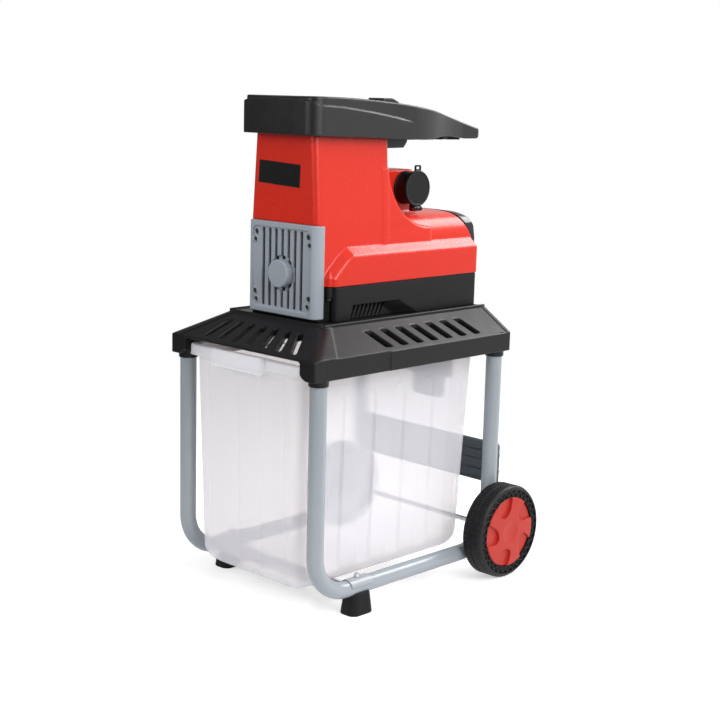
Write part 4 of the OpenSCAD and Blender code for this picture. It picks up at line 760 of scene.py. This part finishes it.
def control_panel():
    g = Grid((-90, 448, 586), (90, 506, 698), 1.3)
    x, y, z = np.abs(g.x), g.y, g.z
    outline = [(453, 693.4), (474, 690.5), (489, 681), (497, 664), (501.5, 642), (501.5, 592), (488.3, 592),
               (488.3, 642.5), (457, 691.4)]
    side = polygon(y, z, outline)
    panel = corner(side, crown(x, z, 0.8), 2)
    panel = corner(panel, x - 84, 3)
    recess = rect(g.x, z, -PANEL_HALF, PANEL_HALF, BUTTON_Z - 17, BUTTON_Z + 17, 8)
    panel = cut(panel, np.maximum(recess, 500.2 - y), 0.8)
    for at, radius in ((-58, 11.3), (-30, 11.3), (18, 4.3), (60, 6.3)):
        panel = np.maximum(panel, radius - np.hypot(g.x - at, z - BUTTON_Z))
    form("panel_shell", g, panel, GLOSS, "base", "black_plastic", "control_panel")


# Front feet and rear brace

def feet():
    for side, name in ((-1, "left_foot"), (1, "right_foot")):
        g = Grid((side * LEG_X - 24, FOOT_Y - 31, -2), (side * LEG_X + 24, FOOT_Y + 31, 45), 1.1)
        x, y, z = g.x - side * LEG_X, g.y - FOOT_Y, g.z
        top = 41
        lean = np.clip(z / top, 0, 1) * 4
        flank = rect(x, y, -21 + lean, 21 - lean, -28 + lean, 28 - lean, 15)
        foot = corner(flank, span(z, 0.05, top), 2)
        foot = cut(foot, np.hypot(x, z - RAIL_Z) - 15.3, 0.8)
        bolt = np.hypot(x, y)
        foot = cut(foot, np.maximum(bolt - 7.2, z - 8), 0.8)
        foot = np.maximum(foot, 3.1 - bolt)
        form(name + "_moulding", g, foot, RUBBER, "base", "rubber", name)


def brace():
    g = Grid((-184, 478, 163), (184, 494, 253), 1.6)
    x, y, z = np.abs(g.x), g.y, g.z
    low, high, back = 167, 249, 489
    plate = corner(rect(x, z, -179.5, 179.5, low, high, 7), span(y, 481.05, back), 1.2)
    for i in range(4):
        z0 = low + 4 + 19.2 * i
        cell = rect(x, z, -150, 150, z0, z0 + 16.4, 3)
        plate = cut(plate, np.maximum(cell, y - 486.5), 0.8)
        plate = np.minimum(plate, np.maximum(corner(cell, span(y, 487, back), 1), -1))
    for level in (0.3, 0.7):
        hole = np.hypot(x - LEG_X, z - low - (high - low) * level)
        plate = np.maximum(plate, 3.1 - hole)
    form("brace_panel", g, plate, BRACE, "base", "grey_coat", "rear_brace")


# Cross strut under the box, with thin saddles over both rails

def strut():
    g = Grid((-192, 76, 28), (192, 135, 70), 0.9)
    x, y, z = np.abs(g.x), g.y, g.z
    around = np.abs(np.hypot(x - LEG_X, z - RAIL_Z) - TUBE_D / 2 - 1.2) - 1.0
    saddle = np.maximum(around, RAIL_Z + 5 * np.clip((x - LEG_X) / 4, 0, 1) - z)
    bends = [(LEG_X - 16.2, RAIL_Z + 1), (LEG_X - 17, STRUT_Z + 14), (LEG_X - 36, STRUT_Z), (-10, STRUT_Z)]
    sheet = saddle
    for start, end in zip(bends, bends[1:]):
        sheet = np.minimum(sheet, stroke(x, z, start, end, 2))
    sheet = corner(sheet, span(y, FOOT_Y - 26.8, FOOT_Y + 26.8), 0.5)
    bolt = np.maximum(np.hypot(x - LEG_X, y - FOOT_Y) - 3.3, RAIL_Z - z)
    form("strut_sheet", g, np.maximum(sheet, -bolt), STRUT, "base", "grey_coat", "front_strut")


# Wheels

def ring_faces(rows, count, closed):
    i = np.arange(rows if closed else rows - 1)[:, None]
    j = np.arange(count)[None, :]
    a = i * count + j
    b = i * count + (j + 1) % count
    up = ((i + 1) % rows) * count
    return np.stack([a, b, up + (j + 1) % count, up + j], -1).reshape(-1, 4)


def tyre(side, body, node):
    """Turned form with a grooved tread and a zigzag ring on its outer face."""
    count, lug_steps, gap_steps = 576, 6, 2
    zigzags, zigzag_face = 32, 45.0
    angle = np.linspace(0, 2 * math.pi, count, endpoint=False)
    # Radius and reach along the axle, from the bore's inner end round the tread to its outer end
    rows = [(5.05, 0.3), (13, 0.3), (14, 1.3), (14, 16.2), (15, 16.56), (64.8, 16.56), (65.8, 15.6),
            (65.8, 1.2), (67, 0.2), (80, 0.2), (83.5, 0.6), (86.5, 2), (88.6, 4.2), (89.3, 6)]
    rows += [(90, a) for a in (6.3, 10, 15, 19.5)]
    rows += [(89.9, 20.6), (88.2, 21.2), (88.0, 22.2), (88.9, 23), (88.0, 23.8), (88.2, 24.8), (89.9, 25.4)]
    rows += [(90, a) for a in (26.5, 31, 36, 39.7)]
    rows += [(89.3, 40), (88.6, 41.8), (86.8, 44.2), (84.4, 45.6), (82.5, 46), (81.4, 45.8)]
    rows += [(80.9 - 0.58 * i, zigzag_face) for i in range(20)]
    rows += [(69.0, 45.4), (68.2, 45.2), (67.8, 44.4), (67.8, 21.2), (67, 20.56), (15, 20.56), (14, 21.6),
             (14, 37.2), (13, 38), (5.05, 38)]
    profile = np.array(rows, float)
    radii = np.repeat(profile[:, :1], count, 1)
    reach = np.repeat(profile[:, 1:], count, 1)
    tread = (profile[:, 0] > 89.2) & (profile[:, 1] > 5) & (profile[:, 1] < 41)
    radii[tread] -= np.where(np.arange(count) % lug_steps < gap_steps, 0.9, 0.0)[None, :]
    ring = (np.abs(profile[:, 1] - zigzag_face) < 0.01) & (profile[:, 0] < 81)
    wave = np.abs(((angle * zigzags / (2 * math.pi)) % 1) - 0.5) * 2
    path = 70.6 + 9.2 * wave
    off = np.abs(profile[ring, 0][:, None] - path[None, :])
    reach[ring] -= 3.0 * np.clip((off - 1.6) / 1.2, 0, 1)
    x = side * (WHEEL_X + reach)
    y = AXLE_Y + radii * np.cos(angle)
    z = AXLE_Z + radii * np.sin(angle)
    points = np.stack([x, y, z], -1).reshape(-1, 3)
    faces = ring_faces(len(rows), count, True)
    if side > 0:
        faces = faces[:, ::-1]
    obj = mesh_object(node + "_tyre", points, faces)
    dress(obj, TYRE, body, "black_plastic", node)
    split = obj.modifiers.new("edges", "EDGE_SPLIT")
    split.split_angle = math.radians(40)


def hub_cap(side, body, node):
    """Cap with five leaning scoops and a dished middle, made flat and then turned onto the axle."""
    top, base, rim = 48.0, 25.0, 67.4
    scoop_at, scoop_radius = 51, 17.5
    g = Grid((-70, -70, 22), (70, 70, 50), 1.0)
    u, v, w = g.x, g.y, g.z
    r = np.hypot(u, v)
    turn = np.arctan2(u, v)
    cap = corner(r - rim, span(w, base, top - 1.2 * (r / rim) ** 2), 2.5)
    scoops = []
    for i in range(5):
        mid = math.radians(58 + 72 * i)
        lean = mid - 0.0052 * np.clip(rim - r, 0, 40)
        across = np.sin(turn - lean) * r
        along = np.cos(turn - lean) * r
        width = scoop_radius + 0.16 * (along - 46)
        end = np.hypot(across, along - scoop_at) - scoop_radius
        one = np.where(along > scoop_at, np.abs(across) - width, end)
        scoops.append(np.where(along < 0, 60, one))
    cap = cut(cap, np.maximum(np.minimum.reduce(scoops), top - 6.4 - w), 1.8)
    dish = top + 0.2 - 2.0 * np.clip(1 - (r / 24) ** 2, 0, 1)
    cap = np.maximum(cap, w - dish)
    inner = np.maximum(np.maximum(r - rim + 3, w - top + 9.5), -1)
    cap = np.maximum(cap, -inner)
    cap = np.minimum(cap, np.maximum(np.abs(r - 17) - 1.8, span(w, 24, top - 4)))
    f = np.ascontiguousarray(np.broadcast_to(cap, g.shape), F32)
    points, faces = surface_nets(f, g)
    points = settle(f, g, points)
    normals = slope(f, g, points)
    normals /= np.maximum(np.linalg.norm(normals, axis=1), 1e-9)[:, None]

    def turned(p):
        return np.stack([side * p[:, 2], p[:, 0], p[:, 1]], 1)

    placed = turned(points) + [side * WHEEL_X, AXLE_Y, AXLE_Z]
    normals = turned(normals)
    if side < 0:
        faces = faces[:, ::-1]
    obj = mesh_object(node + "_moulding", placed, faces)
    dress(obj, HUB, body, "red_plastic", node)
    obj.data.normals_split_custom_set_from_vertices([tuple(n) for n in normals.tolist()])


# Translucent collection box

BOX_Z, RIM_Z = 42, 431
BOX_HALF, BOX_FRONT, BOX_REAR = 141, -12, 448
BOX_CORNER, BOX_FOOT = 22, 36
FLUTE_AT = [82.2 + 78.4 * i for i in range(5)]
FLUTE_HALF, FLUTE_DEEP, FLUTE_ARCH = 18.0, 4.0, 380.0
FRONT_CREASES = (-98, -20, 38, 98)
TAB_LEFT, TAB_RIGHT = -68, 60
BEND = 12


def stops(low, high, marks, offsets, gap):
    """Rising places from low to high: a coarse row, with close ones round each mark."""
    row = list(np.arange(low, high, gap))
    fine = [m + d for m in marks for d in offsets]
    row = [v for v in row if all(abs(v - f) > 1.2 for f in fine)]
    return np.array(sorted(v for v in row + fine if low <= v < high))


FLUTE_STEPS = [e * (FLUTE_HALF + d) for e in (-1, 1) for d in (-14, -6.5, -4.6, -3.4, -2.2, -1, 0.2, 1.4)]
ALONG = stops(44.6, 418, FLUTE_AT, FLUTE_STEPS, 6.0)
ACROSS = stops(-115, 115, FRONT_CREASES + (TAB_LEFT, TAB_RIGHT), (-4, -2.4, -1.2, 0, 1.2, 2.4, 4), 6.0)


def box_outline(half, y0, y1, radius):
    """Points round a rounded rectangle from the front's left end, with their outward normals."""
    def fitted(row, low, high):
        order = np.arange(len(row))
        return np.clip(row, low + 0.02 * order, high - 0.02 * (len(row) - order))

    across = fitted(ACROSS, radius - half, half - radius)
    along = fitted(ALONG, y0 + radius, y1 - radius)
    one, other = np.ones(len(across)), np.ones(len(along))
    sides = [(across, y0 * one, 0, -1), (half * other, along, 1, 0),
             (across[::-1], y1 * one, 0, 1), (-half * other, along[::-1], -1, 0)]
    centres = [(half - radius, y0 + radius, -90), (half - radius, y1 - radius, 0),
               (radius - half, y1 - radius, 90), (radius - half, y0 + radius, 180)]
    points, normals = [], []
    for (px, py, nx, ny), (cx, cy, start) in zip(sides, centres):
        points.append(np.stack([px, py], 1))
        normals.append(np.repeat(np.array([[nx, ny]], float), len(px), 0))
        a = np.radians(start + 90 * np.linspace(0, 1, BEND))
        ring = np.stack([np.cos(a), np.sin(a)], 1)
        points.append(np.array([cx, cy]) + radius * ring)
        normals.append(ring)
    return np.concatenate(points), np.concatenate(normals)


def wall_ring(z, inset):
    """Box wall at height z, with arch-topped flutes in its sides and creases in its front."""
    at = (RIM_Z - z) / (RIM_Z - BOX_Z)
    half = BOX_HALF - 9.5 * at - inset
    y0, y1 = BOX_FRONT + 9 * at + inset, BOX_REAR - 18 * at - min(inset, 2.5 + 0.35 * inset)
    points, normals = box_outline(half, y0, y1, BOX_CORNER)
    depth = np.zeros(len(points))
    side = np.clip((np.abs(normals[:, 0]) - 0.85) / 0.1, 0, 1)
    for middle in FLUTE_AT:
        away = np.hypot(points[:, 1] - middle, max(z - FLUTE_ARCH, 0))
        depth = np.maximum(depth, np.clip((FLUTE_HALF - away) / 4.0, 0, 1) * FLUTE_DEEP * side)
    depth *= np.clip((z - BOX_Z - 26) / 14, 0, 1)
    front = normals[:, 1] < -0.99
    for crease in FRONT_CREASES:
        depth = np.maximum(depth, 1.3 * np.clip(1 - np.abs(points[:, 0] - crease) / 2.6, 0, 1) * front)
    points = points - normals * depth[:, None]
    return np.column_stack([points, np.full(len(points), z)])


def rim_ring(z, out, lift=0.0):
    """Rim at height z: drawn out from the wall, with a grip tab that stands forward and hangs lower."""
    points, normals = box_outline(BOX_HALF + out, BOX_FRONT + 4 - out, BOX_REAR + min(out, 4), 13)
    share = np.clip(out / 10, 0, 1)
    bow = 3 * np.clip(1 - (points[:, 0] / 149) ** 2, 0, 1) * share
    points[:, 1] -= bow * (normals[:, 1] < -0.2)
    reach = np.minimum(points[:, 0] - TAB_LEFT, TAB_RIGHT - points[:, 0])
    held = np.clip(reach / 1.2, 0, 1) * (normals[:, 1] < -0.99)
    points[:, 1] -= 12.5 * held * np.clip((out - 4) / 3.5, 0, 1)
    return np.column_stack([points, z + lift * held])


def lip_ring(z, out):
    """Wall just below the rim, drawn out along the sides to the lips that run on the shelves."""
    points = wall_ring(z, 0)
    side = np.clip((np.abs(points[:, 0]) - BOX_HALF + 12) / 8, 0, 1) * np.clip((points[:, 1] - 12) / 6, 0, 1)
    points[:, 0] += np.sign(points[:, 0]) * out * side
    return points


def collection_box():
    """Rings from the foot up the outside, over lip and rim, and down the inside."""
    thick = 2.5
    arch = FLUTE_ARCH + FLUTE_HALF * np.sin(np.radians((0, 15, 30, 42, 52, 60, 68, 74, 80, 85, 90)))
    heights = np.concatenate([np.linspace(BOX_Z + BOX_FOOT, 372, 17), arch, [399.4, 406, 416, 422]])
    foot = [(1 - math.cos(a), 1 - math.sin(a)) for a in np.radians(np.linspace(0, 81, 10))]

    def walls(inset):
        reach = BOX_FOOT - inset
        rounds = [wall_ring(BOX_Z + inset + reach * up, inset + reach * back) for up, back in foot]
        return rounds + [wall_ring(z, inset) for z in heights]

    outer = walls(0)
    lip = [lip_ring(*r) for r in ((422.5, 0), (423, 2.4), (423.5, 3), (427, 3), (427.5, 2.4), (428, 0))]
    rim = [rim_ring(*r) for r in (
        (452.0, 0), (452.3, 3), (452.3, 7.2, 4), (451, 7.5, 4), (436.4, 7.5, -8), (435.4, 7.8, -8),
        (435.4, 10.2, -8), (436, 10.7, -8), (438.4, 10.7, -8), (439, 10, -8), (452.6, 10, 4), (454.2, 9.4, 4),
        (455, 8.2, 4), (455, 4), (455, -0.8), (454.2, -thick))]
    rings = outer + lip + rim + walls(thick)[::-1]
    count = len(rings[0])
    points = np.concatenate(rings)
    faces = ring_faces(len(rings), count, False)
    last = (len(rings) - 1) * count
    ends = [list(range(count))[::-1], [last + i for i in range(count)]]
    obj = mesh_object("box_tub", points, faces, ends)
    dress(obj, MILKY, "collection_box", "milky_plastic", "collection_box")
    obj.data.materials.append(RIM)
    obj.data.materials.append(MILKY_IN)
    first = (len(outer) + len(lip) - 1) * count
    index = np.zeros(len(obj.data.polygons), np.int32)
    index[first:first + len(rim) * count] = 1
    index[first + len(rim) * count:] = 2
    index[-2] = 0
    obj.data.polygons.foreach_set("material_index", index)
    obj.data.set_sharp_from_angle(angle=math.radians(38))


# Bare plate on the column's front

def front_plate():
    g = Grid((-69, 69, 738), (48, 75, 796), 0.7)
    tilt = math.radians(-2.4)
    x, z = g.x + 10.8, g.z - 767
    u = x * math.cos(tilt) + z * math.sin(tilt)
    v = z * math.cos(tilt) - x * math.sin(tilt)
    plate = corner(rect(u, v, -53, 53, -20, 20, 1.5), span(g.y, 71.0, 73.0), 0.3)
    form("name_plate", g, plate, GLOSS, "base", "black_plastic")


upper_housing()
lower_housing()
bearing_cover()
deck()
hopper()
inlet()
control_panel()
feet()
strut()
brace()
for side, word in ((-1, "left"), (1, "right")):
    tyre(side, word + "_wheel", word + "_wheel")
    hub_cap(side, word + "_wheel", word + "_hub_cap")
collection_box()
front_plate()


# Floor, light and camera

# Direction towards the bright backdrop
BACKDROP_SIDE = (0.66, 0.75, 0.0)
FLOOR_HALF = 30.0
# Distances in metres between which the floor turns from lit to glowing
FADE = (0.5, 1.9)
# Azimuth, elevation and roll in degrees; place in metres; focal length and sensor width in millimetres
CAMERA_TURN = (44.08, 10.63, 1.51)
CAMERA_AT = (1.82543, -1.86411, 0.90391)
LENS, SENSOR = 70.249, 36


def link_math(tree, operation, first, second):
    """Math node between two sockets, or a socket and a number."""
    node = tree.nodes.new("ShaderNodeMath")
    node.operation = operation
    for slot, value in enumerate((first, second)):
        if isinstance(value, (int, float)):
            node.inputs[slot].default_value = value
        else:
            tree.links.new(value, node.inputs[slot])
    return node.outputs["Value"]


def ramp(tree, value, start, end, low, high):
    node = map_range(tree, value, start, end, low, high)
    node.interpolation_type = "SMOOTHSTEP"
    return node.outputs["Result"]


def seen_ray(tree, place, start, end, plain):
    """White for camera and transmitted rays, white behind the object and dim before it for glossy rays."""
    path = tree.nodes.new("ShaderNodeLightPath")
    towards = tree.nodes.new("ShaderNodeVectorMath")
    towards.operation = "DOT_PRODUCT"
    tree.links.new(place, towards.inputs[0])
    towards.inputs[1].default_value = BACKDROP_SIDE
    lift = ramp(tree, towards.outputs["Value"], start, end, 0.15 - plain, 1.0 - plain)
    glossy = link_math(tree, "MULTIPLY", path.outputs["Is Glossy Ray"], lift)
    clear = link_math(tree, "MAXIMUM", path.outputs["Is Camera Ray"], path.outputs["Is Transmission Ray"])
    return link_math(tree, "MAXIMUM", clear, link_math(tree, "ADD", glossy, plain))


def floor():
    mesh = bpy.data.meshes.new("floor")
    corners = [(x * FLOOR_HALF, y * FLOOR_HALF, 0) for x, y in ((-1, -1), (1, -1), (1, 1), (-1, 1))]
    mesh.from_pydata(corners, [], [(0, 1, 2, 3)])
    obj = add_object("floor", mesh)
    material, tree, shader = node_tree("floor_white")
    shader.inputs["Roughness"].default_value = 0.9
    shader.inputs["Specular IOR Level"].default_value = 0.0
    place = tree.nodes.new("ShaderNodeTexCoord").outputs["Object"]
    away = tree.nodes.new("ShaderNodeVectorMath")
    away.operation = "LENGTH"
    tree.links.new(place, away.inputs[0])
    far = ramp(tree, away.outputs["Value"], *FADE, 0.0, 1.0)
    tree.links.new(shades(tree, far, (0.80, 0.80, 0.80), (0.0, 0.0, 0.0)), shader.inputs["Base Color"])
    shader.inputs["Emission Color"].default_value = (1, 1, 1, 1)
    glow = ramp(tree, away.outputs["Value"], *FADE, 0.5, 1.0)
    seen = link_math(tree, "MULTIPLY", glow, seen_ray(tree, place, -1.5, 1.0, 0.0))
    tree.links.new(seen, shader.inputs["Emission Strength"])
    mesh.materials.append(material)


def world():
    studio = bpy.data.worlds.new("studio")
    bpy.context.scene.world = studio
    studio.use_nodes = True
    tree = studio.node_tree
    back = tree.nodes["Background"]
    back.inputs["Color"].default_value = (1, 1, 1, 1)
    place = tree.nodes.new("ShaderNodeTexCoord").outputs["Generated"]
    tree.links.new(seen_ray(tree, place, -0.5, 0.5, 0.45), back.inputs["Strength"])


def soft_box(name, place, aim, width, height, power):
    light = bpy.data.lights.new(name, "AREA")
    light.shape = "RECTANGLE"
    light.size = width
    light.size_y = height
    light.energy = power
    obj = add_object(name, light)
    obj.location = place
    obj.rotation_euler = (Vector(aim) - Vector(place)).to_track_quat("-Z", "Y").to_euler()


def camera():
    azimuth, elevation, roll = (math.radians(a) for a in CAMERA_TURN)
    back = Vector((math.sin(azimuth) * math.cos(elevation), -math.cos(azimuth) * math.cos(elevation),
                   math.sin(elevation)))
    right = Vector((math.cos(azimuth), math.sin(azimuth), 0))
    up = back.cross(right)
    turned_right = math.cos(roll) * right + math.sin(roll) * up
    turned_up = math.cos(roll) * up - math.sin(roll) * right
    data = bpy.data.cameras.new("camera")
    data.sensor_width = SENSOR
    data.lens = LENS
    obj = add_object("camera", data)
    pose = Matrix((turned_right, turned_up, back)).transposed().to_4x4()
    pose.translation = CAMERA_AT
    obj.matrix_world = pose
    bpy.context.scene.camera = obj


floor()
world()
soft_box("rear_top", (0.75, 2.1, 2.15), (0, 0, 0.5), 1.6, 1.2, 54)
soft_box("right_key", (2.6, -0.3, 1.9), (0, 0, 0.45), 1.6, 1.8, 58)
soft_box("front_fill", (-0.6, -2.6, 1.6), (0, 0, 0.45), 1.8, 1.6, 28)
camera()
bpy.context.scene.view_settings.view_transform = "Standard"
